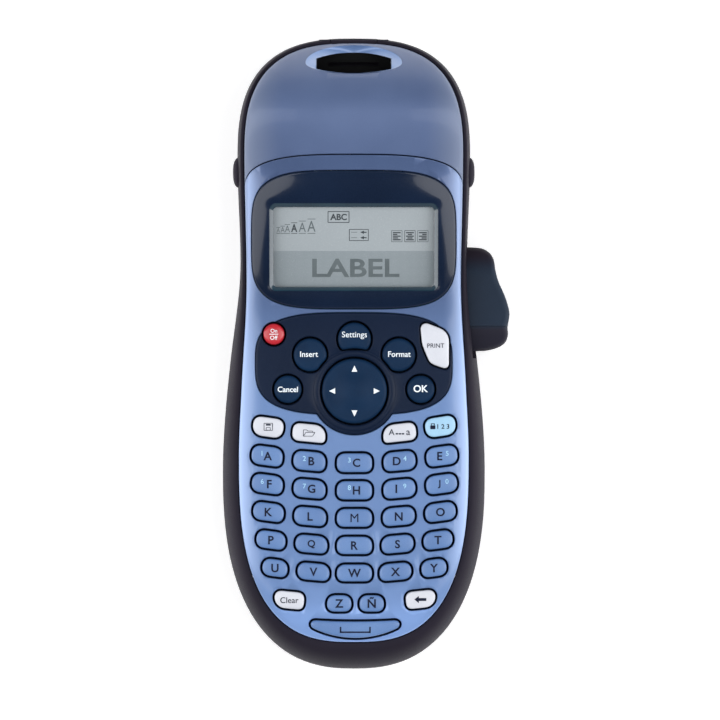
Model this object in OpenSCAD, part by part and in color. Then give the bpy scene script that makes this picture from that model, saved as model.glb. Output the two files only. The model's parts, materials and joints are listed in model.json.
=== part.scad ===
// Handheld label maker, lying on its back.
// +Z points up out of the key face, +Y towards the label exit, +X to the right.
// The origin is the centre line of the flat back, where the case rests.

/* [Case] */
// Y of the rounded end beyond the label exit
nose_y = 94; // [93:0.5:96]
// Distance of the rounded tail end behind the origin
tail_y = 93.5; // [92.5:0.5:96]
// Half width of the case at the head
head_half_w = 34.6; // [34.4:0.1:36]
// Half width of the case at the grip, its widest place
grip_half_w = 39; // [38.5:0.1:41]
// Height of the widest line of the case above the back
belt_z = 14; // [12:0.5:15]
// Wall thickness of the mouldings
wall = 2.2; // [1.8:0.1:2.6]
// Height of the key face over the letter keys
key_face_z = 34; // [33.5:0.1:35.5]
// Height of the lid's crown
crown_z = 47; // [46:0.5:49]

/* [Keys] */
// Column pitch of the letter keys
key_pitch_x = 13.3; // [13:0.1:13.4]
// Row pitch of the letter keys
key_pitch_y = 8.15; // [8:0.05:8.2]
// Travel of every key
key_travel = 0.9; // [0.6:0.1:1]
// How far a key stands out of the face
key_proud = 1.1; // [0.9:0.1:1.5]
// Gap round a key in its hole
key_gap = 0.55; // [0.4:0.05:0.7]
// Radius of the four-way pad
nav_r = 9.6; // [9:0.1:9.8]

/* [Mechanism] */
// Gear module of the tape drive
gear_module = 0.5; // [0.5:0.05:0.5]
// Teeth of the motor pinion
pinion_teeth = 12; // [12:1:12]
// Teeth of the idler
idler_teeth = 40; // [40:1:40]
// Teeth of the platen gear
platen_teeth = 20; // [20:1:20]
// Radius of the rubber platen
platen_r = 3.5; // [3:0.1:3.7]
// Diameter of an AA cell
cell_d = 14.2; // [13.8:0.1:14.5]
// Length of an AA cell
cell_len = 50; // [49:0.5:50.5]

/* [Hidden] */
LETTERS = ["a", "b", "c", "d", "e", "f", "g", "h", "i", "j", "k", "l", "m",
    "n", "o", "p", "q", "r", "s", "t", "u", "v", "w", "x", "y"];
COLUMNS = 5;
// Round keys: name, middle, radius
DISC_KEYS = [["power", -23.6, 6, 3.15], ["settings", 0.2, 4.6, 4.9], ["insert", -12.9, -0.1, 4.9],
    ["format", 13.3, -0.1, 4.9], ["cancel", -19.5, -10.3, 4.1], ["ok", 19.8, -10.3, 4.1]];
// Other keys: name, middle, tilt, width, height, corner radii round from the top right
BAR_KEYS = [["save", -25.3, -21.5, -8, 9, 5.6, [2.2, 2, 2.8, 2.4]],
    ["open", -13.2, -23.2, -5.5, 9.8, 5.2, [3.4, 1.8, 1.8, 0.9]],
    ["caps", 13.5, -23.1, 6.5, 9.8, 5.2, [1.8, 3.4, 0.9, 1.8]],
    ["num", 25.6, -21.3, 9, 9, 5.6, [2, 2.2, 2.4, 2.8]],
    ["z", -4.3, -73.6, 0, 7.2, 4.8, [2.2, 2.2, 1.8, 1.8]],
    ["enye", 5.3, -73.6, 0, 7.2, 4.8, [2.2, 2.2, 1.8, 1.8]],
    ["clear", -19.1, -72.6, -5.5, 8.8, 5, [1.8, 1.8, 3.2, 1.4]],
    ["backspace", 19.8, -72.4, 6, 8.8, 5, [1.8, 1.8, 1.4, 3.2]]];
// Where each key with a name of its own has its middle
KEY_MIDDLES = concat([for (k = DISC_KEYS) [k[0], k[1], k[2]]], [for (k = BAR_KEYS) [k[0], k[1], k[2]]],
    [["print", 24.5, 2.5], ["space", 0.4, -81]]);
OTHER_KEYS = [for (k = KEY_MIDDLES) k[0]];

FINE = 48;
KEY_FINE = 24;
CORNER_STEPS = 6;
CAP_STEPS = 11;
SIDE_STEPS = 8;
HALF = 2 * CAP_STEPS + SIDE_STEPS;
RING = 2 * HALF;

case_blue = [0.38, 0.47, 0.68];
lid_blue = [0.30, 0.36, 0.53];
case_dark = [0.14, 0.11, 0.17];
navy = [0.05, 0.08, 0.16];
key_blue = [0.44, 0.55, 0.78];
white = [0.93, 0.93, 0.95];
steel = [0.72, 0.73, 0.75];

// Half-width stations [y, half width, slope] between the two round ends
head_y = 58;
case_end_y = -35;
CASE = [nose_y, -tail_y, 2.7, 2.45,
    [[head_y, head_half_w, 0], [27.5, head_half_w - 0.9, 0],
    [-1, grip_half_w - 2.4, -0.112], [case_end_y, grip_half_w, 0]]];
face_end_y = -30;
FACE = [nose_y - 1.6, 8.4 - tail_y, 2.7, 2.75,
    [[head_y, head_half_w - 2.3, 0], [22, head_half_w - 2.9, 0],
    [-10, grip_half_w - 5.8, -0.045], [face_end_y, grip_half_w - 5, 0]]];

// Centre-line height stations [y, height, slope]
display_slope = 0.16;
display_low_y = 14;
display_high_y = 52;
display_low_z = key_face_z + 1.6;
display_high_z = display_low_z + display_slope * (display_high_y - display_low_y);
TOP_LINE = [[nose_y - 1, 24, -2.4], [86, crown_z - 9.5, -1.6], [72, crown_z, 0],
    [display_high_y, display_high_z, display_slope],
    [display_low_y, display_low_z, display_slope],
    [-10, key_face_z, 0.02], [-70, key_face_z - 0.8, 0.03], [-86, key_face_z - 1.8, 0.12]];
// Edge rounding stations: drop at the rim, and the exponent of its curve
EDGE_DROP = [[head_y, 7, 0], [0, 2.6, 0]];
EDGE_POWER = [[head_y, 3.4, 0], [0, 8, 0]];

lip = 1;
nest = 0.15;
skirt = 2.4;
seam_gap = 0.15;
seam_y = 59;
seam_end_y = 47.6;
seam_half_w = 32.3;
hinge_y = nose_y - 1.6;
hinge_z = 18;
hinge_r = 0.75;
barrel_r = 1.2;
barrel_x = 7;
knuckle_w = 3.4;
grip_y = 53.9;
grip_z = 26;
grip_out_x = 35.8;
grip_t = 2.4;
// Steps of the domed grips: distance below the dome's top, and radius there
GRIP_STEPS = [[1.4, 4.4], [0.9, 4], [0.4, 3.2], [0, 2]];
fit = 0.05;
lid_step = 0.35;
surround_t = 2.6;
// Middle, width and height of the display window
window_y = 31.7;
window_w = 47.4;
window_h = 23.5;
lcd_t = 3;
lcd_gap = 1.4;
lcd_board_t = 1.2;

board_z = 22.5;
board_t = 1.6;
mat_z = board_z + board_t + 0.2;
mat_t = 1.2;
pad_t = 0.25;
key_base_z = mat_z + mat_t + pad_t + key_travel + 0.2;
flange = 0.4;
flange_t = 0.8;

nav_x = 0.2;
nav_y = -10.8;
nav_ring_r = 12.6;
nav_pivot_z = 31;
nav_dish_r = 22.8;
nav_dish = 0.8;
nav_post_r = 2.2;

door_x = 30;
door_low_y = -66.4;
door_high_y = -11.6;
door_t = 2;
door_gap = 0.3;
latch_w = 12;
rib_w = 14;
rib_pitch = 2.2;
cell_z = door_t + 0.4 + cell_d / 2;
cell_y = (door_low_y + door_high_y) / 2;

SCREWS = [[-20, -75.5], [20, -75.5], [-30.5, -5.6], [30.5, -5.6], [-28.6, 44], [28.6, 44]];
boss_r = 2.8;
screw_r = 1.2;
screw_head_r = 2.1;

bay_z = 12;
bay_t = 1.5;
bay_y = 57;
roll_x = -14.6;
roll_y = 69.6;
roll_r = 11;
CASSETTE = [[-27, 60], [-3, 60], [-3, 79.6], [-18, 79.6], [-27, 72]];
gear_z = 4;
gear_t = 3;
platen_x = 5;
platen_y = 68;
idler_x = platen_x;
idler_y = platen_y - gear_module * (platen_teeth + idler_teeth) / 2;
motor_reach = gear_module * (pinion_teeth + idler_teeth) / 2;
motor_x = idler_x - motor_reach * 12 / 13;
motor_y = idler_y - motor_reach * 5 / 13;
// The platen gear has a tooth on the line to the idler, which has a gap there;
// the pinion's gap takes the idler's nearest tooth
idler_pitch = 360 / idler_teeth;
idler_start = 90 + idler_pitch / 2;
drive_line = atan2(idler_y - motor_y, idler_x - motor_x);
drive_steps = (drive_line + 180 - idler_start) / idler_pitch;
drive_off = (drive_steps - round(drive_steps)) * idler_pitch;
pinion_start = drive_line + drive_off * idler_teeth / pinion_teeth + 180 / pinion_teeth;
motor_r = 8;
// Corners of a tooth: shift in pitches, and height over the pitch circle in modules
TOOTH = [[-0.30, -1.2], [-0.13, 0.85], [0.13, 0.85], [0.30, -1.2]];
shaft_r = 1;
platen_foot_r = 2.4;
platen_shaft_r = 2;

lever_x = 24;
lever_y = 30;
lever_low_z = 12;
lever_high_z = 28.5;
lever_axle_r = 1.5;
lever_hub_r = 3.4;
slot_x = 28.5;
slot_low_y = -1.1;
slot_high_y = 32.8;
arm_z = 17;
arm_t = 3;
// Outline of the paddle outside the case, seen from the key face
PADDLE = [[33.2, 31.8], [38.4, 31.8], [41.6, 28.6], [42.4, 23.4], [46.2, 12.8], [46, 5],
    [44.6, 2.2], [38.4, 0.9], [33.2, 0.9]];
blade_y = 78;
blade_pin_x = 22;

exit_x = 11;
exit_low_y = 83;
exit_high_y = 90;

// Value of a station list at y, by cubic steps
function cubic(y, a, b) =
    let (h = b[0] - a[0], t = (y - a[0]) / h)
    a[1] * (1 + t * t * (2 * t - 3)) + a[2] * h * t * (1 - t) * (1 - t)
    + b[1] * t * t * (3 - 2 * t) + b[2] * h * t * t * (t - 1);
function along(y, stations, i = 0) =
    y >= stations[0][0] ? stations[0][1] + (y - stations[0][0]) * stations[0][2]
    : i >= len(stations) - 1 ? stations[i][1] + (y - stations[i][0]) * stations[i][2]
    : y >= stations[i + 1][0] ? cubic(y, stations[i], stations[i + 1])
    : along(y, stations, i + 1);

// Half of an outline, from the nose round +X to the tail, as [x, y, spine y]
function cap(half_w, base, reach, power, a) =
    [half_w * pow(abs(cos(a)), 2 / power), base + reach * pow(abs(sin(a)), 2 / power), base];
function half_outline(o) =
    let (sides = o[4], top = sides[0][0], low = sides[len(sides) - 1])
    concat(
        [for (k = [0 : CAP_STEPS - 1])
            cap(sides[0][1], top, o[0] - top, o[2], 90 - 90 * k / CAP_STEPS)],
        [for (k = [0 : SIDE_STEPS - 1])
            let (y = top + (low[0] - top) * k / SIDE_STEPS) [along(y, sides), y, y]],
        [for (k = [0 : CAP_STEPS])
            cap(low[1], low[0], o[1] - low[0], o[3], 90 * k / CAP_STEPS)]);
function whole(half) =
    concat(half, [for (i = [HALF - 1 : -1 : 1]) [-half[i][0], half[i][1], half[i][2]]]);
function inset_point(p, d) =
    let (n = norm([p[0], p[1] - p[2]]), f = max(0.02, 1 - d / n))
    [p[0] * f, p[2] + (p[1] - p[2]) * f, p[2]];
function inset(o, d) = [for (p = whole(half_outline(o))) inset_point(p, d)];
function scaled(o, s) = [for (p = whole(half_outline(o))) [p[0] * s, p[2] + (p[1] - p[2]) * s, p[2]]];

// Height of the upper surface where the spine-to-rim fraction is s
function rim_drop(y) = along(max(0, min(head_y, y)), EDGE_DROP);
function rim_power(y) = along(max(0, min(head_y, y)), EDGE_POWER);
function face_z(y, s) =
    along(y, TOP_LINE) - rim_drop(y) * (1 - pow(1 - pow(s, rim_power(y)), 1 / rim_power(y)));
function rim_z(y) = along(y, TOP_LINE) - rim_drop(y);
function at_z(points, z) = [for (p = points) [p[0], p[1], z]];

// Solid through a stack of rings, closed across both ends
module loft(rings) {
    steps = len(rings) - 1;
    polyhedron(
        points = [for (ring = rings, p = ring) p],
        faces = concat(
            [for (k = [0 : steps - 1], i = [0 : RING - 1], part = [0, 1])
                let (a = k * RING + i, b = k * RING + (i + 1) % RING)
                part == 0 ? [a, b, b + RING] : [a, b + RING, a + RING]],
            [for (i = [0 : HALF - 2]) [steps * RING + i, steps * RING + i + 1,
                steps * RING + RING - i - 1]],
            [for (i = [1 : HALF - 1]) [steps * RING + i, steps * RING + RING - i - 1,
                steps * RING + RING - i]],
            [for (i = [0 : HALF - 2]) [RING - i - 1, i + 1, i]],
            [for (i = [1 : HALF - 1]) [RING - i, RING - i - 1, i]]),
        convexity = 6);
}

// Block under the key face: outline inset by `side`, top lowered by `down`
module face_block(side, down, low) {
    outline = inset(FACE, side);
    loft(concat(
        [[for (p = outline) [p[0], p[1], rim_z(p[1]) - low]]],
        [for (s = [1, 0.985, 0.95, 0.88, 0.7, 0.4, 0.1])
            [for (p = outline)
                let (q = [p[0] * s, p[2] + (p[1] - p[2]) * s])
                [q[0], q[1], face_z(q[1], s) - down]]]));
}

// Outline polygon of the key face, inset by d, as a flat shape
module face_shape(d) {
    polygon([for (p = inset(FACE, d)) [p[0], p[1]]]);
}

// Everything on the lid's side of the curved seam, moved towards the lid by d
module lid_side(d) {
    difference() {
        translate([-60, seam_end_y + d])
            square([120, 60]);
        translate([0, seam_end_y - 1 + d])
            square([2 * seam_half_w, 2.02], center = true);
        translate([0, seam_end_y + d])
            polygon([for (a = [0 : 5 : 180])
                [seam_half_w * sign(cos(a)) * pow(abs(cos(a)), 0.65),
                    (seam_y - seam_end_y) * pow(sin(a), 0.65)]]);
    }
}

// Flat shapes of the display surround, control panel and display window
module surround_shape(d) {
    offset(delta = d)
        polygon([for (a = [0 : 7.5 : 352.5])
            [30.1 * sign(cos(a)) * pow(abs(cos(a)), 0.5),
                33.85 + 20.35 * sign(sin(a)) * pow(abs(sin(a)), 0.5)]]);
}
module control_shape(d) {
    offset(delta = d) {
        polygon([for (a = [0 : 7.5 : 352.5])
            [29 * sign(cos(a)) * pow(abs(cos(a)), 0.62),
                -2.7 + 15 * sign(sin(a)) * pow(abs(sin(a)), 0.62)]]);
        translate([nav_x, nav_y])
            circle(r = nav_ring_r + 0.3, $fn = FINE);
    }
}
module window_shape(d) {
    offset(r = d)
        translate([0, window_y])
            square([window_w - 2, window_h - 2], center = true);
}

// Outline of a key about its own middle, with corner radii r round from the top right
function key_outline(w, h, r) =
    [for (q = [0 : 3], k = [0 : CORNER_STEPS])
        let (across = q == 0 || q == 3 ? 1 : -1, up = q < 2 ? 1 : -1, a = 90 * (q + k / CORNER_STEPS))
        [across * (w / 2 - r[q]) + r[q] * cos(a), up * (h / 2 - r[q]) + r[q] * sin(a)]];
module bar_key(x, y, tilt, w, h, r) {
    translate([x, y])
        rotate(tilt)
            polygon(key_outline(w, h, r));
}

// Letter keys: five columns that fan out and bend up at the sides
function letter_row(i) = floor(i / COLUMNS) / 4;
function letter_col(i) = i % COLUMNS - 2;
function letter_x(i) =
    let (col = letter_col(i))
    (key_pitch_x * col - 0.4 * col * (abs(col) - 1)) * (1 - 0.09 * pow(letter_row(i), 2.5)) + nav_x;
function letter_y(i) =
    -32 - 4 * key_pitch_y * letter_row(i) + pow(letter_col(i), 2) * (0.5 - 0.125 * letter_row(i));
function letter_tilt(i) = letter_col(i) * (6.2 - 1.2 * abs(letter_col(i)));
function letter_w(i) =
    [10.4, 9.5, 9.2 - 1.7 * pow(letter_row(i), 4)][abs(letter_col(i))];
function letter_r(i) =
    letter_col(i) == 0 ? [2.2, 2.2, 1.8, 1.8]
    : letter_col(i) < 0 ? [2.6, 2.1, 2.3, 1.7]
    : [2.1, 2.6, 1.7, 2.3];
module letter_shape(i) {
    bar_key(letter_x(i), letter_y(i), letter_tilt(i), letter_w(i), 5.5 - 0.55 * letter_row(i), letter_r(i));
}

// Teardrop of the print key, and the long key that follows the tail's curve
PRINT_CIRCLES = [[21.3, 7.7, 1.6], [24.1, 4, 4], [24.6, -0.4, 2.8], [26.9, -2.9, 1.2]];
space_arc_r = 28.4;
space_top_r = 188;
module print_shape() {
    hull()
        for (c = PRINT_CIRCLES)
            translate([c[0], c[1]])
                circle(r = c[2], $fn = 32);
}
module space_shape() {
    offset(r = 1.2, $fn = KEY_FINE)
        offset(delta = -1.2)
            difference() {
                intersection() {
                    translate([-14.8, -83.9])
                        square([30.4, 5.4]);
                    translate([0.4, space_arc_r - 83.8])
                        circle(r = space_arc_r, $fn = 96);
                }
                translate([0.4, space_top_r - 79])
                    circle(r = space_top_r, $fn = 360);
            }
}
module key_shape(name) {
    for (k = DISC_KEYS)
        if (k[0] == name)
            difference() {
                translate([k[1], k[2]])
                    circle(r = k[3], $fn = FINE);
                translate([nav_x, nav_y])
                    circle(r = nav_ring_r, $fn = FINE);
            }
    for (k = BAR_KEYS)
        if (k[0] == name)
            bar_key(k[1], k[2], k[3], k[4], k[5], k[6]);
    if (name == "print")
        print_shape();
    if (name == "space")
        space_shape();
}

// Height of a key's top at its middle
function key_top(x, y) =
    let (edge = along(max(y, face_end_y), FACE[4]))
    face_z(y, min(0.95, abs(x) / edge)) + key_proud;
function named_top(name) =
    let (m = KEY_MIDDLES[search([name], KEY_MIDDLES)[0]])
    key_top(m[1], m[2]);

// A key: its cap through the face and a flange that holds it in
module key(top) {
    translate([0, 0, key_base_z])
        linear_extrude(top - key_base_z)
            children();
    translate([0, 0, key_base_z])
        linear_extrude(flange_t)
            difference() {
                intersection() {
                    offset(delta = flange + key_gap)
                        children();
                    face_shape(wall + 0.3);
                }
                for (p = SCREWS)
                    translate([p[0], p[1]])
                        circle(r = boss_r, $fn = FINE);
            }
}

module all_key_holes() {
    offset(delta = key_gap) {
        for (name = OTHER_KEYS)
            key_shape(name);
        for (i = [0 : len(LETTERS) - 1])
            letter_shape(i);
    }
}

module screw_places() {
    for (p = SCREWS)
        translate([p[0], p[1], 0])
            children();
}
function post_top(p) = key_top(p[0], p[1]) - key_proud - 1;

// Outer skin of the case: flat back, round belly, then in to the key face's rim
module case_block(d) {
    hull_ring = inset(CASE, d);
    rim_ring = inset(FACE, d == 0 ? -lip : -nest);
    belly = d == 0 ? 0 : d;
    loft(concat(
        [for (step = [[0, 6], [0.7, 3.4], [2.8, 1.3], [6.5, 0.3], [belt_z - 2, 0]])
            at_z(inset(CASE, d + step[1]), belly + step[0])],
        [for (v = [0.25, 0.5, 0.75, 0.9, 1])
            [for (i = [0 : RING - 1])
                let (a = hull_ring[i], b = rim_ring[i], f = 1 - cos(90 * v),
                    p = [a[0] + (b[0] - a[0]) * f, a[1] + (b[1] - a[1]) * f])
                [p[0], p[1], belt_z + (rim_z(b[1]) - skirt * (d == 0 ? 0 : 1) - belt_z) * sin(90 * v)]]],
        d == 0 ? [] : [[for (p = rim_ring) [p[0], p[1], rim_z(p[1]) + 8]]]));
}

// Cylinder along the lid's hinge line
module hinge_cylinder(x, r, w) {
    translate([x, hinge_y, hinge_z])
        rotate([0, 90, 0])
            cylinder(r = r, h = w, center = true, $fn = FINE);
}

module rear_housing() {
    color(case_dark)
        difference() {
            union() {
                difference() {
                    case_block(0);
                    case_block(wall);
                }
                screw_places()
                    translate([0, 0, wall / 2])
                        cylinder(r = boss_r, h = board_z - 0.2 - wall / 2, $fn = FINE);
                translate([lever_x, lever_y, wall / 2])
                    cylinder(r = lever_axle_r + 1.5, h = lever_low_z + 0.6 - wall / 2, $fn = FINE);
                translate([lever_x, lever_y, wall / 2])
                    cylinder(r = lever_axle_r, h = arm_z + arm_t + 1 - wall / 2, $fn = FINE);
                translate([idler_x, idler_y, wall / 2])
                    cylinder(r = shaft_r, h = gear_z + gear_t + 1 - wall / 2, $fn = FINE);
                translate([platen_x, platen_y, wall / 2])
                    cylinder(r = platen_foot_r, h = gear_z - 0.3 - wall / 2, $fn = FINE);
                translate([0, 0, bay_z])
                    linear_extrude(bay_t)
                        intersection() {
                            polygon([for (p = inset(CASE, wall - 0.4)) [p[0], p[1]]]);
                            translate([-50, bay_y])
                                square([100, 50]);
                        }
                for (side = [-1, 1], step = GRIP_STEPS)
                    translate([side * (grip_out_x - step[0] - grip_t / 2), grip_y, grip_z])
                        rotate([0, 90, 0])
                            cylinder(r = step[1], h = grip_t, center = true, $fn = FINE);
                for (side = [-1, 1])
                    hinge_cylinder(side * (barrel_x + knuckle_w / 2), barrel_r, knuckle_w);
            }
            hinge_cylinder(0, hinge_r + fit, 2 * (barrel_x + knuckle_w) - 0.8);
            hinge_cylinder(0, barrel_r + 0.3, 2 * barrel_x);
            screw_places()
                translate([0, 0, -1])
                    cylinder(r = screw_r, h = board_z + 4, $fn = FINE);
            screw_places()
                translate([0, 0, -1])
                    cylinder(r = screw_head_r, h = 4, $fn = FINE);
            translate([-door_x - door_gap, door_low_y - door_gap, -1])
                cube([2 * (door_x + door_gap), door_high_y - door_low_y + 2 * door_gap, 4]);
            translate([slot_x, slot_low_y, lever_low_z - 0.5])
                cube([20, slot_high_y - slot_low_y, lever_high_z - lever_low_z + 1]);
            translate([platen_x, platen_y, bay_z - 1])
                cylinder(r = platen_shaft_r + fit, h = 4, $fn = FINE);
        }
}

module front_housing() {
    color(case_blue)
        difference() {
            union() {
                difference() {
                    face_block(0, 0, skirt - 0.2);
                    face_block(wall - 0.3, wall, skirt + 6);
                    translate([0, 0, 10])
                        linear_extrude(60)
                            lid_side(-seam_gap);
                }
                for (p = SCREWS)
                    translate([p[0], p[1], board_z])
                        cylinder(r = boss_r - 0.3, h = post_top(p) - board_z, $fn = FINE);
            }
            screw_places()
                translate([0, 0, board_z - 1])
                    cylinder(r = screw_r - 0.2, h = 8, $fn = FINE);
            translate([0, 0, 20])
                linear_extrude(40)
                    union() {
                        surround_shape(nest);
                        control_shape(nest);
                        all_key_holes();
                    }
        }
}

module display_surround() {
    color(navy)
        difference() {
            intersection() {
                difference() {
                    face_block(0.4, -0.5, 1);
                    face_block(0.4, surround_t, 9);
                }
                translate([0, 0, 20])
                    linear_extrude(40)
                        union() {
                            surround_shape(0);
                            control_shape(0);
                        }
            }
            translate([0, 0, 20])
                linear_extrude(40)
                    union() {
                        window_shape(0.6);
                        all_key_holes();
                        translate([nav_x, nav_y])
                            circle(r = nav_r + key_gap, $fn = FINE);
                    }
        }
    color(navy)
        translate([0, 14.1, display_low_z - 3.05])
            cube([36, 5, 1.1], center = true);
}

module cassette_lid() {
    color(lid_blue) {
        difference() {
            intersection() {
                difference() {
                    face_block(0, -lid_step, -0.2);
                    face_block(wall - 0.2, wall, 9);
                }
                translate([0, 0, 10])
                    linear_extrude(60)
                        lid_side(seam_gap);
            }
            translate([-exit_x, exit_low_y, 10])
                cube([2 * exit_x, exit_high_y - exit_low_y, 60]);
        }
        hinge_cylinder(0, barrel_r, 2 * barrel_x - 0.4);
        hinge_cylinder(0, hinge_r, 2 * (barrel_x + knuckle_w) - 1.2);
    }
}

module tilted_display() {
    translate([0, window_y, display_low_z + display_slope * (window_y - display_low_y)])
        rotate([atan(display_slope), 0, 0])
            children();
}

module lcd_module() {
    color([0.70, 0.74, 0.72])
        tilted_display()
            translate([0, 0, -surround_t - lcd_gap - lcd_t / 2])
                cube([window_w + 4.6, window_h + 5.5, lcd_t], center = true);
    color([0.1, 0.35, 0.2])
        tilted_display()
            translate([0, 0, -surround_t - lcd_gap - lcd_t - lcd_board_t / 2])
                cube([window_w + 6.6, window_h + 8.5, lcd_board_t], center = true);
}

module keypad_mat() {
    color(navy)
        translate([0, 0, mat_z])
            difference() {
                union() {
                    linear_extrude(mat_t)
                        intersection() {
                            face_shape(3.4);
                            translate([-50, -84])
                                square([100, 96]);
                        }
                    for (m = KEY_MIDDLES)
                        translate([m[1], m[2], 0])
                            cylinder(r = 1.8, h = mat_t + pad_t, $fn = KEY_FINE);
                    for (i = [0 : len(LETTERS) - 1])
                        translate([letter_x(i), letter_y(i), 0])
                            cylinder(r = 1.8, h = mat_t + pad_t, $fn = KEY_FINE);
                }
                screw_places()
                    translate([0, 0, -1])
                        cylinder(r = boss_r + 0.3, h = 4, $fn = FINE);
                translate([nav_x, nav_y, -1])
                    cylinder(r = nav_post_r + 0.4, h = 4, $fn = FINE);
            }
}

module main_board() {
    color([0.08, 0.34, 0.2])
        translate([0, 0, board_z])
            difference() {
                linear_extrude(board_t)
                    intersection() {
                        face_shape(3.4);
                        translate([-50, -83])
                            square([100, 119]);
                    }
                screw_places()
                    translate([0, 0, -1])
                        cylinder(r = boss_r + 0.3, h = 4, $fn = FINE);
            }
    color([0.1, 0.1, 0.11])
        for (chip = [[-12, 6, 12, 12], [10, 8, 8, 6], [0, -74, 7, 5], [-6, 24, 14, 5]])
            translate([chip[0], chip[1], board_z - 0.9])
                cube([chip[2], chip[3], 1.8], center = true);
    color([0.1, 0.1, 0.11])
        translate([nav_x, nav_y, board_z + board_t])
            cylinder(r = nav_post_r, h = nav_pivot_z - 1 - board_z - board_t, $fn = FINE);
}

module cutter_lever() {
    color([0.10, 0.16, 0.21])
        difference() {
            union() {
                translate([0, 0, lever_low_z])
                    linear_extrude(lever_high_z - lever_low_z)
                        offset(r = 1.4, $fn = 24)
                            offset(delta = -1.4)
                                polygon(PADDLE);
                translate([0, 0, lever_low_z + 1])
                    linear_extrude(8)
                        polygon([[lever_x, lever_y + 3], [34.4, 30], [34.4, 6], [31.4, 6],
                            [lever_x, lever_y - 3]]);
                translate([lever_x, lever_y, lever_low_z + 1])
                    cylinder(r = lever_hub_r, h = arm_z + arm_t - lever_low_z - 1, $fn = FINE);
                translate([blade_pin_x - 1.6, lever_y, arm_z])
                    cube([3.2, blade_y - 5 - lever_y, arm_t]);
                translate([blade_pin_x - 2.4, blade_y - 6, arm_z])
                    cube([4.8, 7.2, arm_t]);
            }
            translate([lever_x, lever_y, lever_low_z])
                cylinder(r = lever_axle_r + fit, h = 20, $fn = FINE);
            translate([blade_pin_x - 1.35, blade_y - 2.4, arm_z - 1])
                cube([2.7, 6, arm_t + 2]);
        }
}

module cutter_blade() {
    color(steel) {
        translate([3.4, blade_y - 1.2, bay_z + bay_t + 0.3])
            cube([blade_pin_x - 0.9, 2.4, 2]);
        translate([blade_pin_x, blade_y, bay_z + bay_t + 0.3])
            cylinder(r = 1, h = arm_z + arm_t - bay_z - bay_t, $fn = FINE);
        translate([3.4, blade_y - 0.4, bay_z + bay_t + 0.3])
            cube([1, 0.8, 15]);
    }
}

module battery_door() {
    color(case_dark)
        difference() {
            union() {
                translate([-door_x, door_low_y, 0])
                    cube([2 * door_x, door_high_y - door_low_y, door_t]);
                translate([-latch_w / 2, door_low_y + 0.2, 0])
                    cube([latch_w, 1, door_t + 2.4]);
            }
            for (k = [0 : 4])
                translate([-rib_w / 2, door_low_y + 6 + rib_pitch * k, -1])
                    cube([rib_w, 1, 1.5]);
        }
}

module battery_cells() {
    for (k = [0 : 3])
        translate([(k - 1.5) * (cell_d + 0.5), cell_y, cell_z])
            rotate([90, 0, 0]) {
                flip = k % 2 == 0 ? 1 : -1;
                color([0.25, 0.3, 0.34])
                    cylinder(d = cell_d, h = cell_len - 2, center = true, $fn = FINE);
                color(steel)
                    translate([0, 0, flip * (cell_len / 2 - 0.5)])
                        cylinder(d = 5.5, h = 1, center = true, $fn = FINE);
            }
    color(steel)
        for (k = [0 : 3], side = [-1, 1])
            translate([(k - 1.5) * (cell_d + 0.5), cell_y + side * (cell_len / 2 + 0.8), cell_z])
                cube([9, 0.5, 9], center = true);
}

module label_cassette() {
    color([0.16, 0.17, 0.19])
        translate([0, 0, bay_z + bay_t + 0.3])
            difference() {
                linear_extrude(17)
                    offset(r = 2, $fn = 24)
                        polygon(CASSETTE);
                translate([roll_x, roll_y, 2])
                    cylinder(r = roll_r + 0.6, h = 13, $fn = FINE);
                translate([roll_x, roll_y, -1])
                    cylinder(r = 2.6, h = 20, $fn = FINE);
            }
    color(white)
        translate([roll_x, roll_y, bay_z + bay_t + 2.6])
            difference() {
                cylinder(r = roll_r, h = 12, $fn = FINE);
                translate([0, 0, -1])
                    cylinder(r = 5, h = 14, $fn = FINE);
            }
}

module print_head() {
    color(steel)
        translate([platen_x + platen_r + 0.9, platen_y - 5, bay_z + bay_t])
            cube([3, 10, 16]);
    color([0.75, 0.72, 0.68])
        translate([platen_x + platen_r + 0.4, platen_y - 1, bay_z + bay_t + 1.5])
            cube([0.5, 2, 13]);
}

// Toothed wheel with its first tooth turned to `start` degrees
module gear(teeth, start, bore) {
    pitch_r = gear_module * teeth / 2;
    difference() {
        linear_extrude(gear_t)
            rotate(start)
                polygon([for (k = [0 : teeth - 1], q = TOOTH)
                    let (a = 360 * (k + q[0]) / teeth, r = pitch_r + gear_module * q[1])
                    [r * cos(a), r * sin(a)]]);
        if (bore > 0)
            translate([0, 0, -1])
                cylinder(r = bore, h = gear_t + 2, $fn = FINE);
    }
}

module drive_motor() {
    color(steel)
        translate([motor_x, motor_y, gear_z + gear_t + 2])
            cylinder(r = motor_r, h = 20, $fn = FINE);
    color([0.2, 0.2, 0.22])
        translate([motor_x, motor_y, gear_z + gear_t + 22])
            cylinder(r = motor_r - 1.5, h = 2, $fn = FINE);
}

module motor_pinion() {
    color([0.85, 0.75, 0.4])
        translate([motor_x, motor_y, gear_z]) {
            gear(pinion_teeth, pinion_start, 0);
            cylinder(r = shaft_r, h = gear_t + 1.6, $fn = FINE);
        }
}

module idler_gear() {
    color([0.85, 0.85, 0.82])
        translate([idler_x, idler_y, gear_z])
            gear(idler_teeth, idler_start, shaft_r + fit);
}

module platen_roller() {
    color([0.85, 0.85, 0.82])
        translate([platen_x, platen_y, gear_z])
            gear(platen_teeth, 0, 0);
    color(steel)
        translate([platen_x, platen_y, gear_z])
            cylinder(r = platen_shaft_r, h = bay_z + bay_t + 1 - gear_z, $fn = FINE);
    color([0.12, 0.12, 0.12])
        translate([platen_x, platen_y, bay_z + bay_t + 0.6])
            cylinder(r = platen_r, h = 15.4, $fn = FINE);
}

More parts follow.
